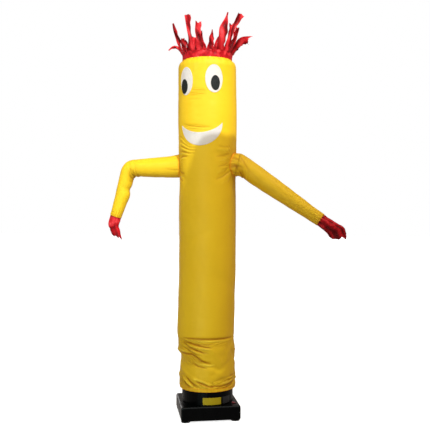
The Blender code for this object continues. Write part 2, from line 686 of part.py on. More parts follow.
def make_switch():
    """A plain rocker in a low frame. It tips about the blower's Y direction."""
    inner = (SWITCH_LENGTH + 2.0 * SWITCH_PLAY, SWITCH_WIDTH + 2.0 * SWITCH_PLAY)
    outer = (inner[0] + 2.0 * BEZEL_WALL, inner[1] + 2.0 * BEZEL_WALL)
    middle = (SWITCH_X, SWITCH_Y, BASE_TOP + GAP + BEZEL_HEIGHT / 2.0)
    frame = mesh_object("switch_frame", box((*outer, BEZEL_HEIGHT), middle), "switch_black", blower)
    add_rounding(frame, BEZEL_ROUNDING, 2)
    hole = mesh_object("switch_hole_cutter", box((*inner, 2.0 * POCKET_DEPTH), middle), place=blower)
    add_boolean(frame, hole)
    bm = bmesh.new()
    near = [bm.verts.new((x, -SWITCH_WIDTH / 2.0, z)) for x, z in ROCKER_OUTLINE]
    face = bm.faces.new(near)
    pulled = bmesh.ops.extrude_face_region(bm, geom=[face])["geom"]
    moved = [item for item in pulled if isinstance(item, bmesh.types.BMVert)]
    bmesh.ops.translate(bm, vec=(0.0, SWITCH_WIDTH, 0.0), verts=moved)
    bmesh.ops.recalc_face_normals(bm, faces=bm.faces)
    place = blower @ Matrix.Translation((SWITCH_X, SWITCH_Y, PIVOT_HEIGHT))
    place = place @ Matrix.Rotation(math.radians(ROCKER_TILT), 4, "Y")
    mesh_object("switch_rocker", bm, "switch_red", place)


def make_gland():
    """A plain stepped boss on the back of the base, where the cord would leave it."""
    back = BASE_SIDE / 2.0 + GAP
    place = blower @ Matrix.Translation((GLAND_X, back, GLAND_HEIGHT))
    place = place @ Matrix.Rotation(math.radians(-90), 4, "X")
    turned("cord_gland", GLAND_OUTLINE, "housing_black", place, SMALL_STEPS)


def make_plate(plate):
    """A blank plate that follows the collar's round wall."""
    columns = []
    radius = COLLAR_RADIUS + GAP
    for n in range(PLATE_COLUMNS + 1):
        turn = plate.turn + plate.half_turn * (2.0 * n / PLATE_COLUMNS - 1.0)
        angle = math.radians(turn)
        x, y = radius * math.sin(angle), -radius * math.cos(angle)
        columns.append([
            Vector((x, y, PLATE_MIDDLE - PLATE_HEIGHT / 2.0)),
            Vector((x, y, PLATE_MIDDLE + PLATE_HEIGHT / 2.0)),
        ])
    made = mesh_object(plate.name, sheet(columns, closed=False), plate.slot)
    add_solidify(made, PLATE, outward_offset(made, plate.turn))


clear_scene()
dancer = new_collection("inflatable_air_dancer")
helpers = new_collection("helpers")
blower = Matrix.Rotation(math.radians(BLOWER_TURN), 4, "Z")

make_base()
make_feet()
make_collar()
for each_plate in PLATES:
    make_plate(each_plate)
make_switch()
make_gland()
make_body()
make_arm("arm_left", LEFT_ARM, -1.0)
make_arm("arm_right", RIGHT_ARM, 1.0)
make_hand("hand_left", LEFT_HAND, LEFT_FINGERS, -1.0)
make_hand("hand_right", RIGHT_HAND, RIGHT_FINGERS, 1.0)
make_hair()
for each_oval in OVALS:
    make_oval(each_oval, "cloth_white" if "white" in each_oval.name else "cloth_black")
make_mouth()
bpy.context.view_layer.update()
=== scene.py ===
import math

import bpy
import numpy as np
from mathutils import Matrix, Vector, noise


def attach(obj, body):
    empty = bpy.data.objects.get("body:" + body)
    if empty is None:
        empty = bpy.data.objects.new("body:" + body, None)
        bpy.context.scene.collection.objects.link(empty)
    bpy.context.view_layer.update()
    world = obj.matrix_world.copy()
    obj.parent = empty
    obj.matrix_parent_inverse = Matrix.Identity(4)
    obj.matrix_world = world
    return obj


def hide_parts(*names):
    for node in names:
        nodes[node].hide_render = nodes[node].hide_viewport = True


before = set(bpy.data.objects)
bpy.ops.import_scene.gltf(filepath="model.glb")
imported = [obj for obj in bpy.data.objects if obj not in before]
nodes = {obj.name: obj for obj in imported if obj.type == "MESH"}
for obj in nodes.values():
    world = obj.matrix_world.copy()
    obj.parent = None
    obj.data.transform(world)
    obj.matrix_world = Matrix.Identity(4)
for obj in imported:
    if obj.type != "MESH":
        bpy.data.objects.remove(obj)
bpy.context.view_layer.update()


class Value:
    def __init__(self, tree, socket):
        self.tree, self.socket = tree, socket

    def maths(self, operation, first, second=0.0):
        node = self.tree.nodes.new("ShaderNodeMath")
        node.operation = operation
        for entry, item in zip(node.inputs, (first, second)):
            if isinstance(item, Value):
                self.tree.links.new(item.socket, entry)
            else:
                entry.default_value = item
        return Value(self.tree, node.outputs[0])

    def __add__(self, other):
        return self.maths("ADD", self, other)

    def __sub__(self, other):
        return self.maths("SUBTRACT", self, other)

    def __rsub__(self, other):
        return self.maths("SUBTRACT", other, self)

    def __mul__(self, other):
        return self.maths("MULTIPLY", self, other)

    __radd__ = __add__
    __rmul__ = __mul__


class Finish:
    def __init__(self, name, **constants):
        self.material = bpy.data.materials.new(name)
        self.material.use_nodes = True
        self.tree = self.material.node_tree
        self.shader = self.tree.nodes["Principled BSDF"]
        for socket, value in constants.items():
            self.shader.inputs[socket.replace("_", " ")].default_value = value

    def node(self, kind, settings=None, inputs=None, output=0):
        made = self.tree.nodes.new(kind)
        for name, value in (settings or {}).items():
            setattr(made, name, value)
        for socket, value in (inputs or {}).items():
            if isinstance(value, Value):
                self.tree.links.new(value.socket, made.inputs[socket])
            else:
                made.inputs[socket].default_value = value
        return Value(self.tree, made.outputs[output])

    def noise(self, where, scale, detail=2.0, roughness=0.5):
        inputs = {"Vector": where, "Scale": scale, "Detail": detail, "Roughness": roughness}
        return self.node("ShaderNodeTexNoise", None, inputs, "Fac")

    def band(self, value, low, high, bottom=0.0, top=1.0):
        inputs = {"Value": value, "From Min": low, "From Max": high, "To Min": bottom, "To Max": top}
        return self.node("ShaderNodeMapRange", {"clamp": True}, inputs)

    def mix(self, factor, first, second):
        pair = [(*c, 1.0) if isinstance(c, tuple) and len(c) == 3 else c for c in (first, second)]
        inputs = {0: factor, 6: pair[0], 7: pair[1]}
        return self.node("ShaderNodeMix", {"data_type": "RGBA"}, inputs, 2)

    def place(self):
        return self.node("ShaderNodeTexCoord", output="Object")

    def flat(self):
        return self.node("ShaderNodeTexCoord", output="UV")

    def parts(self, where):
        first = self.node("ShaderNodeSeparateXYZ", None, {0: where})
        return [Value(self.tree, socket) for socket in first.socket.node.outputs]

    def mark(self, name):
        return self.node("ShaderNodeAttribute", {"attribute_name": name}, output="Fac")

    def feed(self, **links):
        for socket, value in links.items():
            self.tree.links.new(value.socket, self.shader.inputs[socket.replace("_", " ")])

    def relief(self, height, distance, strength=1.0):
        inputs = {"Height": height, "Distance": distance, "Strength": strength}
        self.feed(Normal=self.node("ShaderNodeBump", None, inputs))


nylonPlan = {
    "fullCrease": 0.0035, "seamTint": 0.9, "thread": 0.12, "cloudSize": 3.5, "speckSize": 90.0,
    "wrinkleAcross": 95.0, "wrinkleAlong": 8.0, "wrinkleDepth": 0.0052, "weaveDepth": 0.0004,
    "roughSize": 22.0, "roughSpread": 0.06, "seamRough": 0.1}


# Thin coated nylon: crossed threads, a stronger thread every few millimetres, mottling,
# and a painted highlight on each crease's ridge and painted shade in its trough and in fine wrinkles
def nylon(name, look):
    plan = nylonPlan
    finish = Finish(name, Sheen_Weight=look["sheen"], Sheen_Roughness=0.4,
                    Specular_IOR_Level=look["shine"])
    threads, strong = [], []
    for way in finish.parts(finish.flat())[:2]:
        threads.append(way.maths("SINE", way * look["threads"]))
        share = way.maths("FRACT", way * (1.0 / look["grid"]))
        strong.append(finish.band(share, 0.0, plan["thread"], 1.0, 0.0))
    weave = threads[0] * threads[1]
    grid = weave.maths("MAXIMUM", strong[0], strong[1])
    where = finish.place()
    cloudy = finish.noise(where, plan["cloudSize"], 3.0)
    speckle = finish.noise(where, plan["speckSize"], 2.0)
    # the crease mark paints a highlight on ridges and shade in troughs
    creaseAndShade = finish.mark("creaseAndShade")
    high = finish.band(creaseAndShade, 0.0, plan["fullCrease"])
    low = finish.band(creaseAndShade, 0.0, -plan["fullCrease"])
    seam = finish.mark("seam")
    # many fine wrinkles that run where the pull on the cloth does, in the bump and as painted shade
    ways = {0: finish.mark("fan") * plan["wrinkleAcross"], 1: finish.mark("reach") * plan["wrinkleAlong"]}
    run = finish.node("ShaderNodeCombineXYZ", None, ways)
    wrinkle = finish.band(finish.noise(run, 1.0, 2.0, 0.6), 0.36, 0.64) * finish.mark("pull")
    colour = finish.mix(finish.band(cloudy, 0.35, 0.65), look["colour"], look["faded"])
    # painted highlight in the pale colour on ridges, painted shade in the deep colour in troughs and
    # wrinkles; the seams, thread grid and dirt specks are the cloth's own colour
    tints = [
        (high * look["ridge"], look["pale"]), (low * look["trough"], look["deep"]),
        (seam * plan["seamTint"], look.get("seam", look["deep"])), (grid * look["gridShows"], look["deep"]),
        (finish.band(speckle, 0.62, 0.74) * look["speckle"], look["dirt"]),
        (wrinkle * look["wrinkleShade"], look["deep"])]
    for share, tint in tints:
        colour = finish.mix(share, colour, tint)
    rough = finish.band(finish.noise(where, plan["roughSize"], 3.0), 0.3, 0.7,
                        look["rough"] - plan["roughSpread"], look["rough"] + plan["roughSpread"])
    finish.feed(Base_Color=colour, Roughness=rough + seam * plan["seamRough"])
    fine = (weave * 0.35 + grid * 0.5 + speckle * 0.4) * (plan["weaveDepth"] * look["weaveShows"])
    finish.relief(fine + wrinkle * -plan["wrinkleDepth"], 1.0)
    return finish.material


# pale is the colour of the painted highlight on ridges and deep the colour of the painted shade in troughs
# and wrinkles, as well as of the thread grid and plain seams; ridge, trough and wrinkle shade set how strong
# they are
tubeLook = {
    "trough": 0.9, "speckle": 0.1, "sheen": 0.0, "threads": 9000.0, "grid": 0.0055, "weaveShows": 0.25}
faceLook = {
    "ridge": 0.4, "trough": 0.4, "threads": 5200.0, "grid": 0.003, "wrinkleShade": 0.0, "weaveShows": 0.4}
yellow = nylon("yellow_nylon", {
    **tubeLook, "colour": (0.85, 0.5, 0.011), "faded": (0.87, 0.52, 0.014),
    "pale": (0.95, 0.68, 0.05), "deep": (0.51, 0.19, 0.002), "dirt": (0.62, 0.33, 0.01),
    "seam": (0.95, 0.33, 0.006), "ridge": 0.5, "rough": 0.5, "shine": 0.18, "gridShows": 0.05,
    "wrinkleShade": 0.4})
red = nylon("red_nylon", {
    **tubeLook, "colour": (0.46, 0.006, 0.01), "faded": (0.54, 0.01, 0.014),
    "pale": (0.88, 0.06, 0.065), "deep": (0.09, 0.001, 0.002), "dirt": (0.26, 0.005, 0.007),
    "ridge": 0.75, "rough": 0.4, "shine": 0.08, "gridShows": 0.06, "wrinkleShade": 0.3})
white = nylon("white_applique", {
    **faceLook, "colour": (0.68, 0.585, 0.515), "faded": (0.72, 0.625, 0.555),
    "pale": (0.82, 0.8, 0.74), "deep": (0.4, 0.34, 0.26), "dirt": (0.42, 0.33, 0.28),
    "speckle": 0.3, "rough": 0.62, "shine": 0.25, "sheen": 0.05, "gridShows": 0.12})
black = nylon("black_applique", {
    **faceLook, "colour": (0.011, 0.011, 0.01), "faded": (0.015, 0.015, 0.013),
    "pale": (0.03, 0.03, 0.026), "deep": (0.004, 0.004, 0.004), "dirt": (0.04, 0.038, 0.034),
    "speckle": 0.25, "rough": 0.6, "shine": 0.16, "sheen": 0.0, "gridShows": 0.1})
print("cloth finishes made")


# Moulded plastic with a fine grain, and scuffs that gather dust low down
def plastic(name, look):
    finish = Finish(name, Specular_IOR_Level=look["shine"])
    where = finish.place()
    grain = finish.noise(where, look["grain"], 2.0)
    scuff = finish.band(finish.noise(where, 14.0, 6.0, 0.7), 0.52, 0.72)
    dust = finish.band(finish.parts(where)[2], 0.0, look["dustHeight"], 0.55, 0.15)
    colour = finish.mix(scuff * dust, look["colour"], look["dusty"])
    rough = finish.band(grain, 0.3, 0.7, look["rough"] - 0.04, look["rough"] + 0.04)
    finish.feed(Base_Color=colour, Roughness=scuff * 0.18 + rough)
    finish.relief(grain, look["depth"], look["grainShows"])
    return finish.material


switchLook = {"dustHeight": 0.1, "shine": 0.5, "grain": 2400.0, "depth": 0.0001, "grainShows": 0.3}
plateLook = {"dustHeight": 0.14, "grain": 700.0, "depth": 0.0002, "grainShows": 0.25}
housing = plastic("housing_plastic", {
    "colour": (0.0008, 0.0012, 0.0014), "dusty": (0.0036, 0.0038, 0.0037), "dustHeight": 0.2,
    "rough": 0.24, "shine": 0.08, "grain": 1400.0, "depth": 0.0003, "grainShows": 0.35})
rubber = plastic("foot_rubber_finish", {
    "colour": (0.01, 0.01, 0.01), "dusty": (0.05, 0.045, 0.038), "dustHeight": 0.012,
    "rough": 0.78, "shine": 0.3, "grain": 900.0, "depth": 0.0004, "grainShows": 0.5})
switchBlack = plastic("switch_frame_finish", {
    **switchLook, "colour": (0.008, 0.008, 0.008), "dusty": (0.03, 0.03, 0.028), "rough": 0.42})
switchRed = plastic("rocker_finish", {
    **switchLook, "colour": (0.3, 0.008, 0.02), "dusty": (0.2, 0.02, 0.03), "rough": 0.32})
plateYellow = plastic("plate_yellow_finish", {
    **plateLook, "colour": (0.5, 0.35, 0.006), "dusty": (0.3, 0.2, 0.004), "rough": 0.42, "shine": 0.2})
plateGrey = plastic("plate_grey_finish", {
    **plateLook, "colour": (0.024, 0.025, 0.027), "dusty": (0.05, 0.052, 0.054), "rough": 0.4, "shine": 0.3})
print("plastic finishes made")

hemHeight = 0.151
shoulderHeight = 1.808
headTop = 1.851
neckHeight = 0.005
ventRadius = 0.131
armHeight = 1.307
armRootRadius = 0.061
meanRadius = 0.1495  # of the tube at the chest, to measure round the cloth
headRadius = 0.152  # and at the face


def inMetres(rows, kept=()):
    # the tables are in millimetres, apart from the columns kept: degrees and shares
    return [[v if k in kept else v / 1000.0 for k, v in enumerate(row)] for row in rows]


# height, radius, and how far the middle stands off the Z axis along X and Y
tubeRows = np.array(inMetres([
    (151, 143.5, 2, -8), (172, 146.2, 1, -5), (205, 144, -1, -3), (240, 144, 1, -2), (290, 141.5, 3, 0),
    (322, 143.5, 0, 0), (350, 148.5, -4, 0), (392, 147, -7, -1), (430, 149.5, -9, -1),
    (600, 149.5, -5, -1), (800, 149.5, 0, 0), (1120, 149.5, 0, 0), (1200, 146.5, 1, 0), (1307, 148, 1, 0),
    (1400, 151.5, 1, 0), (1550, 153.5, 0, 0), (1808, 152, -1, 0), (1851, 152, -1, 0)]))

# turn, height, slope, length, width and depth of each main fold
tubeFolds = inMetres([
    (20, 408, 3, 340, 11, -4.5), (150, 396, -4, 300, 12, -4), (-112, 400, 5, 260, 12, -4),
    (-76, 342, 0, 100, 12, 6), (-66, 312, -9, 120, 12, -7), (-22, 357, -46, 200, 14, -6),
    (-4, 334, -42, 180, 13, 5), (12, 292, -24, 220, 14, -6.5), (34, 330, -58, 160, 14, 2),
    (48, 270, 30, 200, 14, -2.5), (62, 362, 40, 130, 13, -2), (92, 315, -38, 180, 14, -6),
    (128, 290, 35, 200, 14, -6), (168, 330, -40, 220, 15, -6), (-150, 300, 38, 200, 14, -6),
    (-108, 265, -34, 180, 14, -6), (-48, 255, -28, 160, 12, 4.5), (-32, 196, -40, 100, 10, 4),
    (2, 192, -24, 150, 10, 5), (66, 192, 22, 120, 10, 4.5), (112, 200, -30, 140, 11, 4.5),
    (-82, 204, 28, 120, 11, 4.5), (52, 1262, 38, 160, 16, -4.5), (46, 1345, -28, 130, 15, -4),
    (-50, 1352, 12, 120, 14, -3.5), (-50, 1248, -30, 140, 15, -4), (132, 1255, -35, 150, 16, -4.5),
    (-134, 1262, 35, 150, 16, -4.5), (-12, 930, 24, 280, 20, -2.5), (58, 700, -30, 260, 20, -2.5),
    (-150, 1040, 20, 300, 22, -3)], (0, 2))

# Creases listed in millimetres: width, depth (a trough under 0), then turn and height
# along each
creases = [
    (4, -4, (-37, 416.5), (-10, 418.5), (16, 418), (58, 415), (82, 417)),
    (3.5, 3, (-37, 408.5), (7, 404), (40, 405), (66, 404)),
    (3, -2.5, (-38, 399), (-10, 390), (15, 389), (35, 393)),
    (3, -2.8, (-39, 395), (-15, 370), (13, 343)), (3.3, 2.8, (-39, 385), (-15, 362), (8, 339)),
    (3.3, -2.8, (-42, 377), (-20, 355), (3, 333)), (3, 2.2, (-36, 402), (-5, 379), (22, 361)),
    (3, -2.2, (-30, 403), (2, 385), (26, 371)), (2.9, -3, (-34, 400), (-12, 386), (12, 377), (30, 374)),
    (2.9, 3, (-36, 393), (-14, 378), (10, 367), (26, 363)),
    (2.9, -3, (-38, 387), (-18, 368), (6, 353), (20, 347)), (2.9, 2.8, (-40, 380), (-22, 362), (0, 346)),
    (4.5, -5, (-60, 344), (-44, 337), (-18, 337), (-6, 321), (1, 307), (22, 291)),
    (4.5, 4.5, (-15, 305), (-3, 290), (20, 281), (30, 285)), (3.5, -3, (-20, 296), (-5, 279), (14, 270)),
    (5, 3.5, (-62, 356), (-45, 350), (-25, 348)), (4, -4.5, (-52, 220), (-38, 193), (-20, 169)),
    (4, 4, (-46, 223), (-30, 198), (-12, 172)), (3.5, -3.5, (-34, 220), (-20, 195), (-6, 174)),
    (4.5, 4.5, (-14, 216), (6, 201), (22, 182)), (3.3, -4, (-44, 212), (-31, 190), (-18, 170)),
    (3.3, 3.7, (-40, 210), (-27, 189), (-14, 170)), (3.3, -3.7, (-28, 214), (-15, 195), (-1, 176)),
    (3.3, 3.7, (-24, 212), (-10, 193), (4, 174)),
    (3.3, -3.7, (30, 169), (46, 168), (62, 173), (78, 180)),
    (3.3, 4, (28, 175), (46, 172), (64, 178), (84, 186)), (3.3, -3.7, (60, 200), (74, 205), (90, 212)),
    (3.3, 3.7, (64, 208), (78, 213), (92, 220)), (4.5, -5, (-8, 206), (10, 190), (28, 172)),
    (4.5, -2.6, (68, 223), (80, 218), (95, 220)), (4.5, 4.5, (46, 190), (62, 196), (84, 203)),
    (4.5, -5, (22, 180), (45, 176), (70, 183), (88, 190)), (4, 3.5, (-40, 166), (-18, 162), (4, 165)),
    (3.5, -3, (-70, 205), (-58, 185), (-46, 170)), (4, 4, (92, 208), (112, 190), (130, 182)),
    (4, -4, (100, 220), (124, 201), (146, 192)), (4, 4, (150, 214), (170, 193), (188, 174)),
    (4, -4, (160, 223), (182, 201), (204, 176)), (4, 4, (-150, 176), (-128, 196), (-110, 218)),
    (4, -4, (-140, 172), (-118, 190), (-98, 212)),
    (3.5, -3.5, (96, 418), (130, 414), (165, 417), (200, 413)),
    (3.5, 3, (100, 407), (134, 404), (170, 406), (215, 402)),
    (4, -4.5, (95, 360), (115, 338), (140, 328), (165, 305)), (4, 4, (100, 350), (122, 326), (146, 316)),
    (4, -4.5, (-160, 356), (-140, 334), (-116, 324), (-96, 330)),
    (4, 4, (-158, 344), (-136, 322), (-112, 312)), (3.5, -1.6, (-19, 1683), (-4, 1677), (12, 1674)),
    (3, 1, (-18, 1674), (-2, 1669), (16, 1666)), (3, -1.3, (-22, 1660), (-5, 1658), (14, 1657)),
    (3, -1.3, (-26, 1637), (-12, 1634), (6, 1635)),
    (3, -2.5, (-38, 1513), (-18, 1499), (4, 1489), (20, 1490)),
    (3.5, 2.8, (-30, 1493), (-12, 1485), (8, 1481)),
    (3.4, -3, (-58, 1460), (-44, 1442), (-28, 1408), (-14, 1399)),
    (3.4, 3.4, (-55, 1444), (-41, 1428), (-25, 1400), (-8, 1393)),
    (3.4, -3.4, (-54, 1432), (-40, 1415), (-24, 1392), (-6, 1388)),
    (3.4, 3.4, (-54, 1418), (-39, 1403), (-22, 1384), (-8, 1381)),
    (3.4, -3.4, (-54, 1407), (-38, 1392), (-22, 1376), (-6, 1374)),
    (3.4, 3.4, (-54, 1393), (-38, 1381), (-22, 1368), (-10, 1367)),
    (3.4, -3.4, (-56, 1380), (-40, 1370), (-24, 1360), (-10, 1361)),
    (3.6, 3.6, (-60, 1360), (-44, 1362), (-26, 1354), (-14, 1356)),
    (3.6, -3.6, (-60, 1342), (-44, 1348), (-28, 1345)), (3.6, 3, (-60, 1329), (-44, 1336), (-30, 1335)),
    (4.5, -1.6, (67, 1398), (52, 1392), (36, 1397)), (4.5, 1.6, (68, 1383), (52, 1376), (34, 1380)),
    (4.5, -1.8, (68, 1364), (50, 1350), (32, 1342)), (4, 1.6, (67, 1346), (52, 1329), (38, 1320)),
    (4.5, -1.8, (66, 1320), (50, 1300), (36, 1290)), (4, 1.6, (65, 1295), (50, 1274), (34, 1260)),
    (4.5, -2, (66, 1270), (50, 1244), (32, 1226)), (4, 1.4, (70, 1250), (58, 1222), (42, 1202)),
    (5, -3, (-66, 1280), (-52, 1264), (-36, 1258)), (5, -3, (-70, 1256), (-58, 1234), (-44, 1220)),
    (4.5, -4, (112, 1344), (132, 1354), (152, 1350)), (4.5, -4, (112, 1270), (130, 1250), (150, 1244)),
    (4.5, 3.5, (114, 1320), (134, 1324), (154, 1318)),
    (4.5, -4, (-112, 1344), (-132, 1354), (-152, 1350)),
    (4.5, -4, (-112, 1270), (-130, 1250), (-150, 1244)),
    (4.5, 3.5, (-114, 1298), (-134, 1292), (-154, 1298))]
# creases that start under this height are the skirt's, and are made deeper
skirtPlan = {"height": 450.0, "share": 1.25}


def eased(share):
    return share * share * (3.0 - 2.0 * share)


def turnFrom(turn, middle):
    # degrees round from a middle turn, between -180 and 180
    return (turn - middle + 180.0) % 360.0 - 180.0


def fromArm(turn, height, side):
    # how far round the cloth and up from the middle of an arm's root
    return np.radians(turnFrom(turn, side * 90.0)) * meanRadius, height - armHeight


def slanted(first, second, slope):
    # the same place measured along a slope and across it
    slope = math.radians(slope)
    return (first * math.cos(slope) + second * math.sin(slope),
            second * math.cos(slope) - first * math.sin(slope))


def foldShape(first, second, slope, length, width, deep):
    along, across = slanted(first, second, slope)
    window = eased(np.clip(1.0 - (2.0 * along / length) ** 2, 0.0, 1.0))
    return deep * window * np.exp(-((across / width) ** 2))


def reachAlong(line):
    # how far along a line each of its points is
    return np.concatenate([[0.0], np.cumsum(np.linalg.norm(np.diff(line, axis=0), axis=1))])


def tubeRow(height):
    heights = tubeRows[:, 0]
    height = np.clip(height, heights[0], heights[-1])
    low = np.clip(np.searchsorted(heights, height) - 1, 0, len(heights) - 2)
    share = eased((height - heights[low]) / (heights[low + 1] - heights[low]))
    return tubeRows[low, 1:] + share[:, None] * (tubeRows[low + 1, 1:] - tubeRows[low, 1:])


def tubeRadius(height):
    share = np.clip((height - shoulderHeight) / (headTop - neckHeight - shoulderHeight), 0.0, 1.0)
    return ventRadius + (tubeRow(height)[:, 0] - ventRadius) * np.sqrt(1.0 - share * share)


def foldDepth(turn, height, folds):
    depth = np.zeros(len(turn))
    radius = tubeRow(height)[:, 0]
    for middle, rise, *shape in folds:
        depth += foldShape(np.radians(turnFrom(turn, middle)) * radius, height - rise, *shape)
    return depth


def creaseDepth(turn, height):
    depth = np.zeros(len(turn))
    perDegree = meanRadius * math.pi / 180.0
    for width, deep, *path in creases:
        middle = path[len(path) // 2][0]
        x = turnFrom(turn, middle) * perDegree
        line = [(turnFrom(t, middle) * perDegree, z / 1000.0) for t, z in path]
        whole = sum(math.dist(a, b) for a, b in zip(line, line[1:]))
        nearest = np.full(len(turn), 1e9)
        reached = np.zeros(len(turn))
        start = 0.0
        for (ax, az), (bx, bz) in zip(line, line[1:]):
            length = math.dist((ax, az), (bx, bz))
            share = ((x - ax) * (bx - ax) + (height - az) * (bz - az)) / length ** 2
            share = np.clip(share, 0.0, 1.0)
            away = np.hypot(x - ax - share * (bx - ax), height - az - share * (bz - az))
            closer = away < nearest
            nearest = np.where(closer, away, nearest)
            reached = np.where(closer, (start + share * length) / whole, reached)
            start += length
        window = np.sqrt(np.clip(1.0 - (2.0 * reached - 1.0) ** 2, 0.0, 1.0))
        share = skirtPlan["share"] if path[0][1] < skirtPlan["height"] else 1.0
        depth += deep / 1000.0 * share * window * np.exp(-((nearest * 1000.0 / width) ** 2))
    return depth


puckerPlan = {
    "root": 0.0013, "rootReach": 0.017, "hem": 0.0007, "hemReach": 0.02,
    "shoulder": 0.0008, "shoulderReach": 0.016, "shoulderSeam": 0.03}


def puckers(turn, height):
    # the cloth gathers along each sewn arm root, the hem and the shoulder seam
    plan = puckerPlan
    depth = np.zeros(len(turn))
    for side in (-1.0, 1.0):
        x, y = fromArm(turn, height, side)
        out = np.hypot(x, y) - armRootRadius
        spoke = np.arctan2(y, x)
        ripple = np.cos(23.0 * spoke + 1.7 * np.sin(3.0 * spoke)) * (0.6 + 0.4 * np.sin(5.0 * spoke + side))
        depth += plan["root"] * ripple * np.exp(-np.maximum(out, 0.0) / plan["rootReach"]) * (out > -0.004)
    angle = np.radians(turn)
    gather = np.cos(31.0 * angle + 2.0 * np.sin(4.0 * angle)) + 0.6 * np.cos(53.0 * angle + 1.0)
    depth += plan["hem"] * gather * np.exp(-(height - hemHeight) / plan["hemReach"])
    gather = np.cos(27.0 * angle + 2.0 * np.sin(3.0 * angle))
    away = np.abs(height - shoulderHeight - plan["shoulderSeam"])
    return depth + plan["shoulder"] * gather * np.exp(-away / plan["shoulderReach"])


# Where the tube's cloth is pulled into fine wrinkles: middle turn and height, half-sizes across
# and up, slope of the wrinkles and how strong they are
pulls = inMetres([
    (-22, 380, 110, 42, -16, 1), (48, 392, 70, 22, 8, 0.7), (-18, 302, 80, 34, -28, 0.9),
    (-38, 195, 65, 36, -42, 1), (58, 192, 85, 30, 16, 1), (8, 185, 60, 24, -30, 0.8),
    (150, 350, 120, 50, 22, 0.9), (-150, 300, 100, 50, -26, 0.9), (170, 190, 110, 30, 34, 0.9),
    (-110, 195, 80, 32, -34, 0.9), (-4, 1664, 60, 26, -3, 0.55), (-10, 1490, 80, 20, -8, 0.6)], (0, 4, 5))


def pullField(turn, height):
    # how strong the wrinkles are, then the ways across them and along them
    best = np.zeros(len(turn))
    fan, reach = np.zeros(len(turn)), np.zeros(len(turn))
    for n, (middle, rise, halfWide, halfHigh, slope, strong) in enumerate(pulls):
        away = np.radians(turnFrom(turn, middle)) * meanRadius
        far = np.hypot(away / halfWide, (height - rise) / halfHigh)
        here = strong * eased(np.clip(1.25 - far, 0.0, 1.0))
        along, across = slanted(away, height - rise, slope)
        wins = here > best
        best = np.where(wins, here, best)
        fan = np.where(wins, across + n, fan)
        reach = np.where(wins, along, reach)
    for side in (-1.0, 1.0):
        x, y = fromArm(turn, height, side)
        out = np.hypot(x, y)
        near = eased(np.clip((0.155 - out) / 0.07, 0.0, 1.0)) * (out > armRootRadius - 0.004)
        here = (0.7 - 0.2 * side) * near
        wins = here > best
        best = np.where(wins, here, best)
        fan = np.where(wins, np.arctan2(y, np.abs(x)) * 0.085 + 20.0 + side, fan)
        reach = np.where(wins, out, reach)
    return {"pull": best, "fan": fan, "reach": reach}


def rumple(points, size, amount, seed):
    shift = Vector((seed, 2.0 * seed, -seed))
    return np.array([amount * noise.noise(Vector(p) / size + shift) for p in points])


def onTube(turn, height, proud=0.0, fine=True):
    turn, height = np.asarray(turn, float), np.asarray(height, float)
    row = tubeRow(height)
    radius = tubeRadius(height) + foldDepth(turn, height, tubeFolds)
    angle = np.radians(turn)
    creaseAndShade = np.zeros(len(turn))
    if fine:
        # these crease depths are also the mark that paints highlight and shade into the cloth's colour
        creaseAndShade = creaseDepth(turn, height) + puckers(turn, height)
        spots = np.stack([np.sin(angle) * 0.15, -np.cos(angle) * 0.15, height], axis=1)
        radius = radius + rumple(spots * (1.0, 1.0, 0.7), 0.075, 0.0016, 3.0)
        radius = radius + rumple(spots * (1.0, 1.0, 1.8), 0.03, 0.0007, 8.0)
    radius = radius + creaseAndShade + proud
    points = np.stack([
        row[:, 1] + radius * np.sin(angle), row[:, 2] - radius * np.cos(angle), height], axis=1)
    return points, creaseAndShade


def gridFaces(rows, columns, closed):
    around = columns if closed else columns - 1
    lower = np.arange(rows - 1)[:, None] * columns
    n = np.arange(around)[None, :]
    after = (n + 1) % columns
    quads = np.stack([lower + n, lower + after, lower + columns + after, lower + columns + n], axis=-1)
    return quads.reshape(-1, 4)


def newPiece(name, points, faces, material, body="dancer", uv=None, marks=None):
    mesh = bpy.data.meshes.new(name)
    mesh.from_pydata([tuple(p) for p in points], [], [tuple(int(i) for i in f) for f in faces])
    mesh.shade_smooth()
    if uv is not None:
        layer = mesh.uv_layers.new(name="cloth")
        corners = np.zeros(len(mesh.loops), int)
        mesh.loops.foreach_get("vertex_index", corners)
        layer.data.foreach_set("uv", np.asarray(uv, float)[corners].ravel())
    for mark, values in (marks or {}).items():
        kept = mesh.attributes.new(mark, "FLOAT", "POINT")
        kept.data.foreach_set("value", np.asarray(values, np.float32))
    mesh.materials.append(material)
    piece = bpy.data.objects.new(name, mesh)
    bpy.context.scene.collection.objects.link(piece)
    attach(piece, body)
    return piece


def declareSheet(piece, length):
    # works out the mean width that gives the piece its area at the measured length; the result is not kept
    area = sum(face.area for face in piece.data.polygons)
    area / length


def middleLength(rings):
    # the length of the line through the middles of a sleeve's rings
    return float(reachAlong(rings.mean(axis=1))[-1])


stitchPlan = {"pitch": 0.0062, "length": 0.004, "thick": 0.00055, "sides": 5}


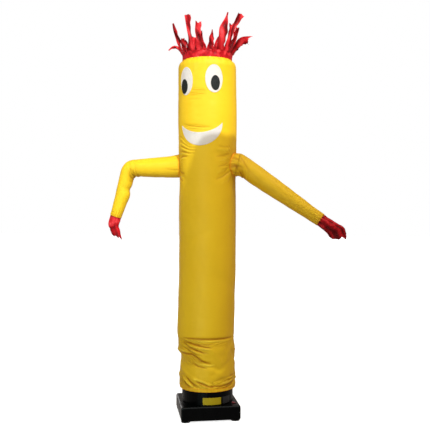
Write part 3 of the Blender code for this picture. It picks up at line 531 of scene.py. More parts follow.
def stitches(name, paths, material):
    # each path is a list of points with the way out of the cloth at each
    points, faces = [], []
    sides = stitchPlan["sides"]
    for line, outs in paths:
        line, outs = np.asarray(line), np.asarray(outs)
        reach = reachAlong(line)
        count = max(int(reach[-1] / stitchPlan["pitch"]), 1)
        for n in range(count):
            start = reach[-1] * (n + 0.15) / count
            ends = start + np.array([0.0, 0.18, 0.82, 1.0]) * stitchPlan["length"]
            middle, out = (np.stack([np.interp(ends, reach, way[:, k]) for k in range(3)], axis=1)
                           for way in (line, outs))
            out /= np.linalg.norm(out, axis=1)[:, None]
            along = middle[-1] - middle[0]
            along /= max(np.linalg.norm(along), 1e-9)
            side = np.cross(along, out)
            base = len(points)
            for k, (rise, thick) in enumerate(((-0.3, 0.4), (0.6, 1.0), (0.6, 1.0), (-0.3, 0.4))):
                for s in range(sides):
                    angle = math.tau * s / sides
                    offset = out[k] * (math.cos(angle) * thick + rise) + side[k] * math.sin(angle) * thick
                    points.append(middle[k] + offset * stitchPlan["thick"])
            faces += [tuple(face + base) for face in gridFaces(4, sides, True)]
            faces.append(tuple(base + s for s in range(sides))[::-1])
            faces.append(tuple(base + 3 * sides + s for s in range(sides)))
    return newPiece(name, points, faces, material)


bodyPlan = {
    "around": 240, "rows": [(hemHeight, 0.43, 80), (0.43, 1.2, 110), (1.2, shoulderHeight, 126)],
    "shoulderRows": 12, "seamWidth": 0.007, "backSeam": 0.0035, "hemSeam": 0.0145, "rootSeam": 0.0035,
    "holeRadius": 0.0545}


def makeBody():
    plan = bodyPlan
    around = plan["around"]
    heights = [height for low, high, count in plan["rows"] for height in np.linspace(low, high, count)[:-1]]
    rounding = headTop - neckHeight - shoulderHeight
    rows = plan["shoulderRows"]
    heights += [shoulderHeight + rounding * math.sin(math.radians(90.0 * n / rows)) for n in range(rows + 1)]
    heights += [headTop - neckHeight * 0.5, headTop]
    turns = np.arange(around) * 360.0 / around
    turn = np.tile(turns, len(heights))
    height = np.repeat(np.array(heights), around)
    points, creaseAndShade = onTube(turn, height)
    # a fell seam up the back, a folded hem and the edge of the vent
    back = np.abs(turnFrom(turn, 180.0)) * 0.0026
    seam = np.exp(-((back / plan["backSeam"]) ** 2))
    seam = np.maximum(seam, np.exp(-(((height - hemHeight - plan["hemSeam"]) / 0.0016) ** 2)))
    seam = np.maximum(seam, 0.9 * np.exp(-(((height - hemHeight) / 0.003) ** 2)))
    for side in (-1.0, 1.0):
        gap = np.hypot(*fromArm(turn, height, side)) - armRootRadius - 0.001
        seam = np.maximum(seam, np.exp(-((gap / plan["rootSeam"]) ** 2)))
    out = points.copy()
    lift = 0.0008 * np.exp(-((back / plan["seamWidth"]) ** 4))
    lift += 0.0006 * (height < hemHeight + 0.014)
    angle = np.radians(turn)
    out[:, 0] += lift * np.sin(angle)
    out[:, 1] -= lift * np.cos(angle)
    faces = gridFaces(len(heights), around, True)
    # the air holes behind the arms
    hole = np.zeros(len(out), bool)
    distance = np.hypot(out[:, 1], out[:, 2] - armHeight)
    for side in (-1.0, 1.0):
        hole |= (distance < plan["holeRadius"]) & (out[:, 0] * side > 0.0)
    faces = faces[~hole[faces].any(axis=1)]
    uv = np.stack([angle * meanRadius, height], axis=1)
    # the crease depths paint a highlight on ridges and shade in troughs, and the pulls paint shade in the
    # fine wrinkles
    piece = newPiece("bodyCloth", out, faces, yellow, uv=uv,
                     marks={"creaseAndShade": creaseAndShade, "seam": seam, **pullField(turn, height)})
    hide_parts("body")
    return piece


bodyCloth = makeBody()
print("body cloth", len(bodyCloth.data.polygons))


# outer x and z, inner x and z, and half the depth of each section
leftArm = inMetres([
    (-207.3, 1359.4, -207.3, 1245.7, 56.5), (-275.1, 1354.4, -275.1, 1248.8, 53),
    (-340, 1350.2, -337.9, 1251.3, 50), (-392, 1346.4, -383.8, 1253.5, 48),
    (-427.2, 1342.5, -408.5, 1250.5, 47), (-453, 1332.5, -416, 1242.5, 46),
    (-471.4, 1313, -420.5, 1232.4, 45), (-484.9, 1285.5, -424, 1219, 44), (-494.5, 1251, -429, 1202, 42),
    (-502.4, 1217.7, -440, 1183.5, 40), (-512.4, 1179.6, -438.2, 1156, 39),
    (-525.9, 1127.9, -459.8, 1101, 36), (-547.1, 1049, -490.7, 1029, 30)])
rightArm = inMetres([
    (186, 1363, 172, 1246.2, 59), (210.4, 1348, 193, 1236.2, 57), (239.5, 1328.3, 215.7, 1220, 55.5),
    (292.1, 1290, 257.9, 1192, 52), (359.8, 1239, 323.4, 1150.5, 48), (437.2, 1180, 401.2, 1101, 43),
    (513.6, 1121.5, 478.1, 1054, 38.5), (569.2, 1078.8, 533.9, 1019, 35),
    (610.8, 1047.5, 574.7, 994, 32.5)])
leftHand = inMetres([
    (-547.1, 1049, -490.7, 1029, 29), (-556, 1023, -497, 1005, 25), (-561.5, 996, -502, 985, 18),
    (-553, 968, -496.5, 964, 15), (-540, 940, -491.5, 940, 14)])
rightHand = inMetres([
    (607.8, 1046.5, 574.2, 996.6, 31.5), (644.2, 1022.9, 596.8, 977.5, 28.5),
    (681.4, 999, 615.3, 963.5, 24), (711.5, 979.6, 625.3, 953.5, 19.5), (716.4, 961.1, 632.2, 942.5, 16)])
leftFingers = (0.006, 0.009, 0.002, 0.014, 0.002, 0.024, 0.01, 0.032, 0.024)
rightFingers = (0.005, 0.016, 0.037, 0.019, 0.031, 0.024, 0.022, 0.01, 0.004)


def sectionRing(section, sides, side):
    outerX, outerZ, innerX, innerZ, depth = section
    outer, inner = np.array((outerX, 0.0, outerZ)), np.array((innerX, 0.0, innerZ))
    angle = math.tau * np.arange(sides) / sides
    middle, half = (outer + inner) / 2.0, (outer - inner) / 2.0
    return middle + np.outer(np.cos(angle), half) + np.outer(np.sin(angle), (0.0, -side * depth, 0.0))


def rootRing(side, sides):
    angle = math.tau * np.arange(sides) / sides
    height = armHeight + armRootRadius * np.cos(angle)
    across = -side * armRootRadius * np.sin(angle)
    turn = np.full(sides, side * 90.0)
    for _ in range(4):
        point = onTube(turn, height, 0.0007, fine=False)[0]
        row = tubeRow(height)
        radius = np.hypot(point[:, 0] - row[:, 1], point[:, 1] - row[:, 2])
        turn = side * (90.0 + np.degrees(np.arcsin((across - row[:, 2]) / radius)))
    return np.stack([point[:, 0], across, height], axis=1)


def loft(rings, step):
    # a smooth surface through rings of points, with rings about every step
    rings = np.array(rings)
    middles = rings.mean(axis=1)
    reach = reachAlong(middles)
    slopes = np.gradient(rings, reach, axis=0)
    places = np.linspace(0.0, reach[-1], max(int(reach[-1] / step), 4) + 1)
    made = []
    for place in places:
        n = min(max(int(np.searchsorted(reach, place)) - 1, 0), len(reach) - 2)
        gap = reach[n + 1] - reach[n]
        t = (place - reach[n]) / gap
        made.append(rings[n] * (2 * t ** 3 - 3 * t ** 2 + 1) + slopes[n] * gap * (t ** 3 - 2 * t ** 2 + t)
                    + rings[n + 1] * (3 * t ** 2 - 2 * t ** 3) + slopes[n + 1] * gap * (t ** 3 - t ** 2))
    return np.array(made), places


def outwards(rings):
    # unit directions out of a tube of rings
    around = np.roll(rings, -1, axis=1) - np.roll(rings, 1, axis=1)
    along = np.gradient(rings, axis=0)
    out = np.cross(around, along)
    out /= np.maximum(np.linalg.norm(out, axis=2), 1e-9)[..., None]
    away = rings - rings.mean(axis=1, keepdims=True)
    if (out * away).sum() < 0.0:
        out = -out
    return out


def sleeveFolds(places, angles, folds):
    # place along the sleeve, angle round it, slant, length along, half-width and depth
    s, a = np.meshgrid(places, angles, indexing="ij")
    depth = np.zeros(s.shape)
    for place, angle, *shape in folds:
        depth += foldShape(s - place, turnFrom(np.degrees(a), angle) * armPlan["perDegree"], *shape)
    return depth


# place, angle, slant (0 along the sleeve, 90 round it), length, width, depth
leftArmFolds = inMetres([
    (30, 20, 8, 90, 5, -1), (36, 60, -6, 80, 5, -1), (30, -20, -8, 90, 5, -1), (36, 120, 10, 100, 5, -1),
    (40, 180, 0, 100, 6, -2), (40, -110, 8, 90, 5, -2), (235, 165, 82, 120, 6, -3.2),
    (252, 172, 88, 100, 5, 2.3), (268, 178, 90, 110, 5, -2.7), (285, 170, 84, 100, 5, 1.8),
    (300, 182, 94, 120, 6, -2.7), (322, 175, 80, 100, 6, -1.8), (250, 120, 62, 90, 5, -1.8),
    (285, 125, 118, 90, 5, -1.8), (255, -130, 60, 90, 5, -1.8), (290, -126, 118, 90, 5, -1.8),
    (370, 130, 12, 120, 6, -3), (420, 60, -14, 140, 7, -3), (460, 150, 10, 120, 6, -3),
    (440, 100, 6, 160, 6, 2), (470, 20, 8, 100, 6, -3), (150, 80, 20, 180, 8, -0.8),
    (180, 130, -14, 160, 8, -1), (262, 95, 84, 150, 4, -4), (274, 95, 84, 130, 4, 3)], (1, 2))
rightArmFolds = inMetres([
    (20, 60, 20, 80, 5, -4), (26, 100, -10, 90, 5, -4), (30, 140, 10, 100, 5, -4),
    (20, 180, 4, 90, 6, -4), (30, -130, -8, 100, 5, -4), (40, 120, 50, 90, 5, -5),
    (50, 150, 70, 90, 5, 4), (62, 160, 75, 100, 6, -6), (75, 140, 64, 90, 6, -4),
    (60, 60, 30, 120, 6, -3), (120, 90, 12, 160, 7, -0.9), (200, 120, -10, 200, 8, -0.9),
    (280, 70, 10, 200, 8, -0.8), (360, 110, -6, 180, 7, -0.9), (420, 80, 8, 140, 6, -0.9),
    (460, 130, -6, 120, 6, -0.9), (470, 40, 6, 100, 6, -0.9)], (1, 2))
armPlan = {
    "around": 112, "step": 0.0048, "radius": 0.055, "perDegree": 0.00085, "rumple": 0.0012,
    "rumpleSize": 0.045, "foldShare": 0.6, "rootSeam": 0.0065, "wristSeam": 0.003, "wristGather": 0.0012,
    "bend": {-1.0: 0.27, 1.0: 0.06}, "gather": {-1.0: 0.0006, 1.0: 0.0012}}


def makeArm(name, node, sections, folds, side, seed):
    plan = armPlan
    around = plan["around"]
    rings = [rootRing(side, around)] + [sectionRing(section, around, side) for section in sections]
    surface, places = loft(rings, plan["step"])
    angles = math.tau * np.arange(around) / around
    creaseAndShade = sleeveFolds(places, angles, folds) * plan["foldShare"]
    s, a = np.meshgrid(places, angles, indexing="ij")
    left = places[-1] - s  # how far the wrist is
    gather = np.cos(21.0 * a + 1.5 * np.sin(2.0 * a)) * (0.6 + 0.4 * np.sin(5.0 * a))
    creaseAndShade += plan["gather"][side] * gather * np.exp(-s / 0.02)
    creaseAndShade += plan["wristGather"] * np.cos(15.0 * a + 1.2 * np.sin(3.0 * a)) * np.exp(-left / 0.022)
    broad = rumple(surface.reshape(-1, 3), plan["rumpleSize"], plan["rumple"], seed).reshape(s.shape)
    held = eased(np.clip(s / 0.006, 0.0, 1.0))
    creaseAndShade *= held
    surface = surface + outwards(surface) * (creaseAndShade + broad * held + 0.0005)[..., None]
    seam = np.exp(-((s / plan["rootSeam"]) ** 2)) + np.exp(-((left / plan["wristSeam"]) ** 2))
    seam = np.maximum(seam, np.exp(-(((np.degrees(a) - 180.0) / 3.0) ** 2)))
    roundWay = a * plan["radius"]
    inner = np.maximum(np.cos(a - math.pi), 0.0)
    bend = np.exp(-(((s - plan["bend"][side]) / 0.045) ** 2)) * (0.35 + 0.65 * inner)
    ends = (0.5 + 0.3 * side) * np.exp(-s / 0.035) + 0.7 * np.exp(-left / 0.03)
    across = bend > ends
    # the crease mark paints a highlight on ridges and shade in troughs, and the pull mark paints shade in
    # the wrinkles at the bend and the ends
    marks = {
        "creaseAndShade": creaseAndShade, "seam": np.clip(seam, 0, 1), "pull": np.maximum(bend, ends) * held,
        "fan": np.where(across, s + 3.0, roundWay), "reach": np.where(across, roundWay, s)}
    piece = newPiece(name, surface.reshape(-1, 3), gridFaces(len(places), around, True), yellow,
                     uv=np.stack([roundWay.ravel(), s.ravel()], axis=1),
                     marks={mark: values.ravel() for mark, values in marks.items()})
    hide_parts(node)
    return piece, surface


armLeftCloth, leftSurface = makeArm("armLeftCloth", "arm_left", leftArm, leftArmFolds, -1.0, 11.0)
armRightCloth, rightSurface = makeArm("armRightCloth", "arm_right", rightArm, rightArmFolds, 1.0, 23.0)
print("arms made")

# lit paints a lighter or darker hand, and the shade amount paints shade past the fold
handPlan = {
    "around": 128, "step": 0.003, "radius": 0.03, "rumple": 0.003, "rumpleSize": 0.022, "gap": 0.0004,
    "relief": 0.7, "gather": 0.0014, "ridges": {-1.0: 0.0004, 1.0: 0.0016}, "fold": {-1.0: 0.0016, 1.0: 0.0},
    "turned": {-1.0: 0.004, 1.0: 0.0016}, "lit": {-1.0: 0.0022, 1.0: -0.0006}}


def makeHand(name, node, sections, fingers, side, seed):
    plan = handPlan
    around = plan["around"]
    rings = [sectionRing(section, around, side) for section in sections]
    out = rings[1].mean(axis=0) - rings[0].mean(axis=0)
    rings[0] = rings[0] + out / np.linalg.norm(out) * plan["gap"]
    along = rings[-1].mean(axis=0) - rings[-2].mean(axis=0)
    along /= np.linalg.norm(along)
    surface, places = loft(rings, plan["step"])
    # the cut fingers reach out from the last ring, the same in front and behind
    turnShare = np.abs((np.arange(around) / around * 16.0 + 8.0) % 16.0 - 8.0)
    reach = np.interp(turnShare, np.arange(9), fingers)
    tipRows = [surface[-1] + along * (reach * share)[:, None] for share in (0.2, 0.4, 0.6, 0.8, 1.0)]
    surface = np.concatenate([surface, np.array(tipRows)])
    down, angles = np.linspace(0.0, places[-1] + 0.02, len(surface)), math.tau * np.arange(around) / around
    s, a = np.meshgrid(down, angles, indexing="ij")
    creaseAndShade = rumple(surface.reshape(-1, 3), plan["rumpleSize"], plan["rumple"], seed).reshape(s.shape)
    creaseAndShade += plan["gather"] * np.cos(11.0 * a) * np.exp(-s / 0.02)
    creaseAndShade += plan["ridges"][side] * np.cos(9.0 * a + 2.0 * np.sin(2.0 * a) + 6.0 * s)
    fold = s - 0.052 - 0.022 * np.cos(a)
    ridge = 0.8 * np.exp(-(((fold + 0.01) / 0.006) ** 2)) - np.exp(-((fold / 0.004) ** 2))
    creaseAndShade += plan["fold"][side] * ridge
    # painted light and shade: the left hand's mark is raised for a painted lit look, the right hand's is
    # lowered, and past the fold each hand gets painted shade
    turned = creaseAndShade + plan["lit"][side] - plan["turned"][side] * eased(np.clip(fold / 0.008, 0.0, 1.0))
    creaseAndShade *= eased(np.clip(s / 0.006, 0.0, 1.0))
    surface = surface + outwards(surface) * creaseAndShade[..., None] * plan["relief"]
    seam = np.exp(-((s / 0.003) ** 2))
    piece = newPiece(name, surface.reshape(-1, 3), gridFaces(len(surface), around, True), red,
                     uv=np.stack([(a * plan["radius"]).ravel(), s.ravel()], axis=1),
                     marks={"creaseAndShade": turned.ravel(), "seam": seam.ravel()})
    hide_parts(node)
    return piece, surface


handLeftCloth, leftMitt = makeHand("handLeftCloth", "hand_left", leftHand, leftFingers, -1.0, 5.0)
handRightCloth, rightMitt = makeHand("handRightCloth", "hand_right", rightHand, rightFingers, 1.0, 7.0)
print("hands made")

# turn, bend x, y and rise, tip x, y and rise, widths at the bend and the tip, notch, face
streamers = inMetres([
    (-90, -164, -13, 47, -204, -34, 29, 19, 7, 0, -165),
    (-67.5, -147, -60, 85, -166, -75, 159, 31, 10, 0, 0),
    (-45, -95, -108, 38, -96, -129, 67, 43, 26, 10, -20),
    (-22.5, -63, -120, 95, -78, -104, 188, 20, 33, -5, 5),
    (0, -11, -132, 73, -15, -118, 149, 28, 33, 10, 25), (22.5, 56, -125, 48, 64, -138, 94, 25, 6, 0, 10),
    (45, 110, -95, 92, 128, -69, 196, 45, 8, 0, 20), (67.5, 142, -24, 111, 183, -3, 198, 18, 34, -5, 15),
    (90, 178, 6, 58, 231, 0, 62, 38, 44, 16, 15), (112.5, 137, 68, 34, 158, 84, 60, 26, 14, 0, 60),
    (135, 121, 110, 106, 140, 105, 165, 28, 18, 5, 180),
    (157.5, 88, 132, 122, 101, 120, 195, 24, 24, 10, 190),
    (180, -12, 168, 60, -20, 222, 92, 26, 21, 10, 180),
    (-157.5, -69, 116, 101, -74, 104, 161, 33, 26, 10, -165),
    (-135, -107, 106, 85, -114, 125, 136, 36, 26, 5, -150),
    (-112.5, -146, 54, 70, -170, 79, 110, 34, 21, 5, -140)], (0, 10))
# turn, rise, lean out, lean round, width at the root, and how far the tip droops
shreds = inMetres([
    (-80, 55, 30, -20, 20, 10), (-57, 70, 20, 14, 22, 4), (-34, 62, 12, -12, 24, 2),
    (-12, 80, 6, 16, 20, 0), (11, 48, 14, -14, 24, 4), (33, 66, 10, 18, 22, 0), (55, 92, 12, -14, 20, 0),
    (72, 76, 26, 16, 22, 6), (100, 52, 34, 10, 20, 12), (124, 74, 18, -16, 22, 4),
    (147, 58, 12, 14, 24, 0), (170, 82, 10, -12, 22, 0), (-168, 50, 18, 16, 22, 4),
    (-146, 78, 12, -14, 22, 0), (-123, 56, 26, 12, 22, 8), (-101, 68, 30, -16, 20, 10)], (0,))
hairPlan = {
    "band": 0.036, "gap": 0.0004, "drawIn": 0.002, "bandRows": 9, "bandAround": 192, "root": 0.034,
    "rows": 44, "columns": 9, "ridge": 0.2, "wear": 0.05, "wearTurns": 12.0, "crumple": 0.004,
    "crumpleSize": 0.045, "kink": 0.005, "kinks": 2.3, "cutFrom": 0.8, "cut": 0.1, "gather": 0.002}
shredPlan = {"rows": 18, "columns": 5, "height": 0.55, "inside": 0.0022, "kinks": 1.7, "twist": 50.0}


def outOf(angle):
    # the ways out of the tube and round it at an angle
    sin, cos = math.sin(angle), math.cos(angle)
    return np.array((sin, -cos, 0.0)), np.array((cos, sin, 0.0))


def zigzag(place):
    return abs(place % 1.0 - 0.5) * 2.0 - 0.5


def makeHair():
    plan = hairPlan
    bottom = headTop + plan["gap"]
    shift = tubeRow(np.array([headTop]))[0]
    around, bandRows, columns = plan["bandAround"], plan["bandRows"], plan["columns"]
    turns = streamers[0][0] + (np.arange(around) - columns // 2) * 360.0 / around
    angle = np.radians(turns)
    points, uv, creaseAndShade = [], [], []
    for n in range(bandRows):
        share = n / (bandRows - 1)
        spots = [Vector((3.0 * math.sin(a), 3.0 * math.cos(a), 0.7 * share)) for a in angle]
        gather = np.array([2.6 * noise.noise(spot * 2.2) + 1.6 * noise.noise(spot * 4.3) for spot in spots])
        gather = plan["gather"] * gather * (0.25 + 0.75 * share)
        radius = ventRadius - plan["drawIn"] * share + gather
        up = np.full(around, plan["band"] * share)
        points.append(np.stack([
            shift[1] + radius * np.sin(angle), shift[2] - radius * np.cos(angle), bottom + up], axis=1))
        uv.append(np.stack([angle * ventRadius, up], axis=1))
        # the gathers also paint a highlight on their bumps and shade in their folds
        creaseAndShade.append(gather)
    faces = [tuple(face) for face in gridFaces(bandRows, around, True)]
    topRing, count = points[-1], bandRows * around
    step = around // len(streamers)

    def addRow(row, across, along, marks):
        # one more row of points across a strip, and their numbers
        nonlocal count
        points.append(np.array(row))
        uv.append(np.stack([across, np.full(len(row), along)], axis=1))
        creaseAndShade.append(np.array(marks))
        count += len(row)
        return list(range(count - len(row), count))

    def joinRows(low, high):
        faces.extend((low[k], low[k + 1], high[k + 1], high[k]) for k in range(len(low) - 1))

    sides = np.array([2.0 * k / (columns - 1) - 1.0 for k in range(columns)])
    for index, streamer in enumerate(streamers):
        turn, bendX, bendY, bendRise, tipX, tipY, tipRise, bendWidth, tipWidth, notch, face = streamer
        previous = [(bandRows - 1) * around + index * step + k for k in range(columns)]
        base = topRing[index * step + columns // 2].copy()
        bend, tip = np.array((bendX, bendY, base[2] + bendRise)), np.array((tipX, tipY, base[2] + tipRise))
        pull = 2.0 * bend - (base + tip) / 2.0
        for n in range(1, plan["rows"] + 1):
            share = n / plan["rows"]
            middle = (1 - share) ** 2 * base + 2 * share * (1 - share) * pull + share ** 2 * tip
            along = (1 - share) * (pull - base) + share * (tip - pull)
            along /= np.linalg.norm(along)
            outward = outOf(math.radians(turn + (face - turn) * share))[0]
            sideways = np.cross(along, outward)
            sideways /= np.linalg.norm(sideways)
            if share < 0.5:
                width = plan["root"] + (bendWidth - plan["root"]) * eased(2.0 * share)
            else:
                width = bendWidth + (tipWidth - bendWidth) * eased(2.0 * share - 1.0)
            wander = plan["wearTurns"] * share + math.radians(turn)
            left = width * (0.5 + plan["wear"] * math.sin(wander))
            right = width * (0.5 + plan["wear"] * math.sin(2.0 * wander))
            cut = np.clip((share - plan["cutFrom"]) / (1.0 - plan["cutFrom"]), 0.0, 1.0)
            bent = plan["ridge"] * math.cos(2.6 * share + 1.9 * index)
            row, marks = [], []
            for k, side in enumerate(sides):
                span = left if side < 0.0 else right
                fold = 1.0 - abs(side)
                spot = middle + sideways * side * span + outward * bent * width * fold
                torn = plan["cut"] * tipWidth * (k % 2 - 0.5) * (1.0 + math.sin(1.7 * k + index))
                spot = spot - along * (notch * fold + torn) * cut
                crumple = noise.noise(Vector(spot) / plan["crumpleSize"] + Vector((index, 0.0, 3.0)))
                kink = zigzag(share * plan["kinks"] + 0.35 * index + 0.3 * side)
                push = (plan["crumple"] * crumple + plan["kink"] * kink) * min(share * 4.0, 1.0)
                row.append(spot + outward * push)
                # the mark paints highlight and shade on the kinked facets, light and shade that vary across
                # and along the strip, and a little painted shade over all
                marks.append(push * 0.7 + 0.0026 * math.sin(2.4 * side + 2.1 * index + 5.0 * share) - 0.0008)
            ids = addRow(row, sides * width * 0.5 + index * 0.05, share * 0.18, marks)
            joinRows(previous, ids)
            previous = ids

    # short shreds between the streamers, rooted on the inner side of the band
    sides = np.linspace(-1.0, 1.0, shredPlan["columns"])
    for index, (turn, rise, lean, roundLean, width, droop) in enumerate(shreds):
        outward, sideways = outOf(math.radians(turn))
        base = np.array((shift[1], shift[2], bottom + plan["band"] * shredPlan["height"]))
        base = base + outward * (ventRadius - plan["drawIn"] - shredPlan["inside"])
        previous = None
        for share in np.arange(shredPlan["rows"]) / (shredPlan["rows"] - 1):
            middle = base + outward * lean * share ** 1.6 + sideways * roundLean * share ** 2
            middle = middle + np.array((0.0, 0.0, (rise + 0.016) * share - droop * share ** 4))
            across = width * (1.0 - 0.75 * share ** 1.5)
            twist = math.radians(shredPlan["twist"]) * share * math.cos(2.3 * index)
            way = sideways * math.cos(twist) + outward * math.sin(twist)
            row, marks = [], []
            for side in sides:
                kink = plan["kink"] * zigzag(share * shredPlan["kinks"] + 0.4 * index + 0.3 * side)
                push = (kink + 0.003 * abs(side) * math.cos(1.3 * index)) * min(share * 3.0, 1.0)
                row.append(middle + way * side * across * 0.5 + np.cross(way, (0.0, 0.0, 1.0)) * push)
                # the shreds get painted shade, darker than the streamers, along with highlight and shade on
                # their kinks
                marks.append(push * 0.8 - 0.0012)
            ids = addRow(row, sides * across * 0.5 + index * 0.05 + 1.0, share * rise, marks)
            if previous:
                joinRows(previous, ids)
            previous = ids
    piece = newPiece("hairCloth", np.concatenate(points), faces, red, uv=np.concatenate(uv),
                     marks={"creaseAndShade": np.concatenate(creaseAndShade), "seam": np.zeros(count)})
    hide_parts("hair")
    return piece


hairCloth = makeHair()
print("hair made")

# middle turn and height, half-sizes, how far it stands off the tube, node and slot
ovals = {
    "eyeWhiteRight": (29.0, 1.736, 17.4, 0.0715, 0.0012, "eye_white_right", "cloth_white"),
    "eyeWhiteLeft": (-29.5, 1.729, 16.4, 0.072, 0.0012, "eye_white_left", "cloth_white"),
    "pupilRight": (31.3, 1.7145, 8.8, 0.0385, 0.0026, "pupil_right", "cloth_black"),
    "pupilLeft": (-33.5, 1.703, 8.8, 0.038, 0.0026, "pupil_left", "cloth_black")}
# the share of each outer ring and how much it is raised by the folded rim; the same amount paints a
# highlight on the raised rim and shade at its lowered edge
rimRings = {0.955: 1.0, 0.98: 0.8, 1.0: -0.9}
facePlan = {
    "around": 72, "rings": 16, "flat": 0.93, "rimProud": 0.0006, "rimShade": 0.0015, "stitchShare": 0.965,
    "stitchProud": 0.0007}
facePieces, whiteRows, blackRows = {}, [], []


def stitchLine(turn, height, proud):
    inside = onTube(turn, height, 0.0)[0]
    outside = onTube(turn, height, proud)[0]
    return outside, outside - inside + 1e-6


def makeOval(name, turn, height, halfTurn, halfHeight, proud, node, slot):
    plan = facePlan
    around = plan["around"]
    angle = math.tau * np.arange(around) / around
    turns, heights, rim = [np.array([turn])], [np.array([height])], [np.zeros(1)]
    shares = list(np.linspace(0.0, plan["flat"], plan["rings"])[1:]) + list(rimRings)
    for share in shares:
        turns.append(turn + halfTurn * share * np.cos(angle))
        heights.append(height + halfHeight * share * np.sin(angle))
        rim.append(np.full(around, rimRings.get(share, 0.0)))
    turns, heights, rim = map(np.concatenate, (turns, heights, rim))
    points, creaseAndShade = onTube(turns, heights, proud + plan["rimProud"] * rim)
    faces = [tuple(face + 1) for face in gridFaces(len(shares), around, True)]
    faces += [(0, 1 + (n + 1) % around, 1 + n)[::-1] for n in range(around)]
    isWhite = slot == "cloth_white"
    # the rim mark paints a highlight on the raised rim and shade at its edge, on top of the creases' painted
    # highlight and shade
    piece = newPiece(name, points, faces, white if isWhite else black,
                     uv=np.stack([np.radians(turns) * headRadius, heights], axis=1),
                     marks={"creaseAndShade": creaseAndShade + plan["rimShade"] * rim, "seam": np.zeros(len(points))})
    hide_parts(node)
    ends = np.append(angle, math.tau)
    (whiteRows if isWhite else blackRows).append(stitchLine(
        turn + halfTurn * plan["stitchShare"] * np.cos(ends),
        height + halfHeight * plan["stitchShare"] * np.sin(ends), proud + plan["stitchProud"]))
    return piece


for name, oval in ovals.items():
    facePieces[name] = makeOval(name, *oval)

mouthPlan = {
    "left": -41.0, "right": 45.0, "tip": 1.505, "tipRise": 0.003, "upperDip": 0.044,
    "lowerDip": 0.104, "upperCurve": 0.95, "lowerCurve": 0.56, "half": 0.003, "blunt": 0.0035,
    "proud": 0.0012, "columns": 120, "rows": 22, "rim": 0.003, "rimShade": 0.0012, "stitchInset": 0.0032}


def makeMouth():
    plan = mouthPlan
    across = -np.cos(np.linspace(0.0, math.pi, plan["columns"]))
    dip = np.maximum(1.0 - across ** 2, 0.0)
    tip = plan["tip"] + plan["tipRise"] * across
    half = plan["half"] + plan["blunt"] * np.maximum(across, 0.0) ** 8
    upper = tip + half - plan["upperDip"] * dip ** plan["upperCurve"]
    lower = tip - half - plan["lowerDip"] * dip ** plan["lowerCurve"]
    turn = (plan["left"] + plan["right"]) / 2.0 + (plan["right"] - plan["left"]) / 2.0 * across
    share = np.linspace(0.0, 1.0, plan["rows"])
    turns = np.tile(turn, plan["rows"])
    heights = (lower[None, :] + (upper - lower)[None, :] * share[:, None]).ravel()
    edge = np.minimum(share, 1.0 - share)[:, None] * (upper - lower)[None, :]
    rim = (np.exp(-(((edge - plan["rim"]) / 0.0022) ** 2)) - 1.2 * np.exp(-((edge / 0.0012) ** 2))).ravel()
    points, creaseAndShade = onTube(turns, heights, plan["proud"] + facePlan["rimProud"] * rim)
    uv = np.stack([np.radians(turns) * headRadius, heights], axis=1)
    # the rim mark paints a highlight along the raised rim and shade at the mouth's edge
    piece = newPiece("mouthCloth", points, gridFaces(plan["rows"], plan["columns"], False), white, uv=uv,
                     marks={"creaseAndShade": creaseAndShade + plan["rimShade"] * rim, "seam": np.zeros(len(points))})
    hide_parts("mouth")
    inset = np.minimum(plan["stitchInset"], (upper - lower) * 0.4)
    ring = np.concatenate([turn, turn[::-1], turn[:1]])
    up = np.concatenate([lower + inset, (upper - inset)[::-1], lower[:1] + inset[:1]])
    whiteRows.append(stitchLine(ring, up, plan["proud"] + facePlan["stitchProud"]))
    return piece


facePieces["mouthCloth"] = makeMouth()
whiteStitches = stitches("faceStitches", whiteRows, white)
blackStitches = stitches("pupilStitches", blackRows, black)
print("face made")

seamPlan = {
    "around": 241, "shoulder": 0.03, "up": 400, "backApart": 1.1, "sleeveRow": 2, "sleeveProud": 0.0003}
fullTurn = np.linspace(0.0, 360.0, seamPlan["around"])
rowsYellow = [
    stitchLine(fullTurn, np.full(len(fullTurn), hemHeight + bodyPlan["hemSeam"]), 0.0008),
    stitchLine(fullTurn, np.full(len(fullTurn), shoulderHeight + seamPlan["shoulder"]), 0.0002)]
for side in (-1.0, 1.0):
    up = np.linspace(hemHeight + 0.018, shoulderHeight + 0.02, seamPlan["up"])
    rowsYellow.append(stitchLine(np.full(len(up), 180.0 + side * seamPlan["backApart"]), up, 0.001))


def ringStitches(surface, row):
    ring, out = surface[row], outwards(surface)[row]
    ring, out = np.concatenate([ring, ring[:1]]), np.concatenate([out, out[:1]])
    return ring + out * seamPlan["sleeveProud"], out


for surface in (leftSurface, rightSurface):
    rowsYellow += [ringStitches(surface, row) for row in (seamPlan["sleeveRow"], -1 - seamPlan["sleeveRow"])]
rowsRed = [ringStitches(surface, seamPlan["sleeveRow"]) for surface in (leftMitt, rightMitt)]
yellowStitches = stitches("seamStitches", rowsYellow, yellow)
redStitches = stitches("handStitches", rowsRed, red)

declareSheet(bodyCloth, headTop - hemHeight)
declareSheet(armLeftCloth, middleLength(leftSurface))
declareSheet(armRightCloth, middleLength(rightSurface))
declareSheet(handLeftCloth, middleLength(leftMitt))
declareSheet(handRightCloth, middleLength(rightMitt))
declareSheet(hairCloth, math.tau * ventRadius)
mouthWidth = math.radians(mouthPlan["right"] - mouthPlan["left"]) * headRadius
for name, piece in facePieces.items():
    length = mouthWidth if name == "mouthCloth" else 2.0 * ovals[name][3]
    declareSheet(piece, length)
print("stitching made")

finishes = {
    "base": housing, "collar": housing, "cord_gland": housing, "collar_plate_front": plateYellow,
    "collar_plate_side": plateGrey, "switch_frame": switchBlack, "switch_rocker": switchRed}
finishes.update({name: rubber for name in nodes if name.startswith("foot_")})
for name, material in finishes.items():
    node = nodes[name]
    node.data.materials.clear()
    node.data.materials.append(material)
print("blower finished")

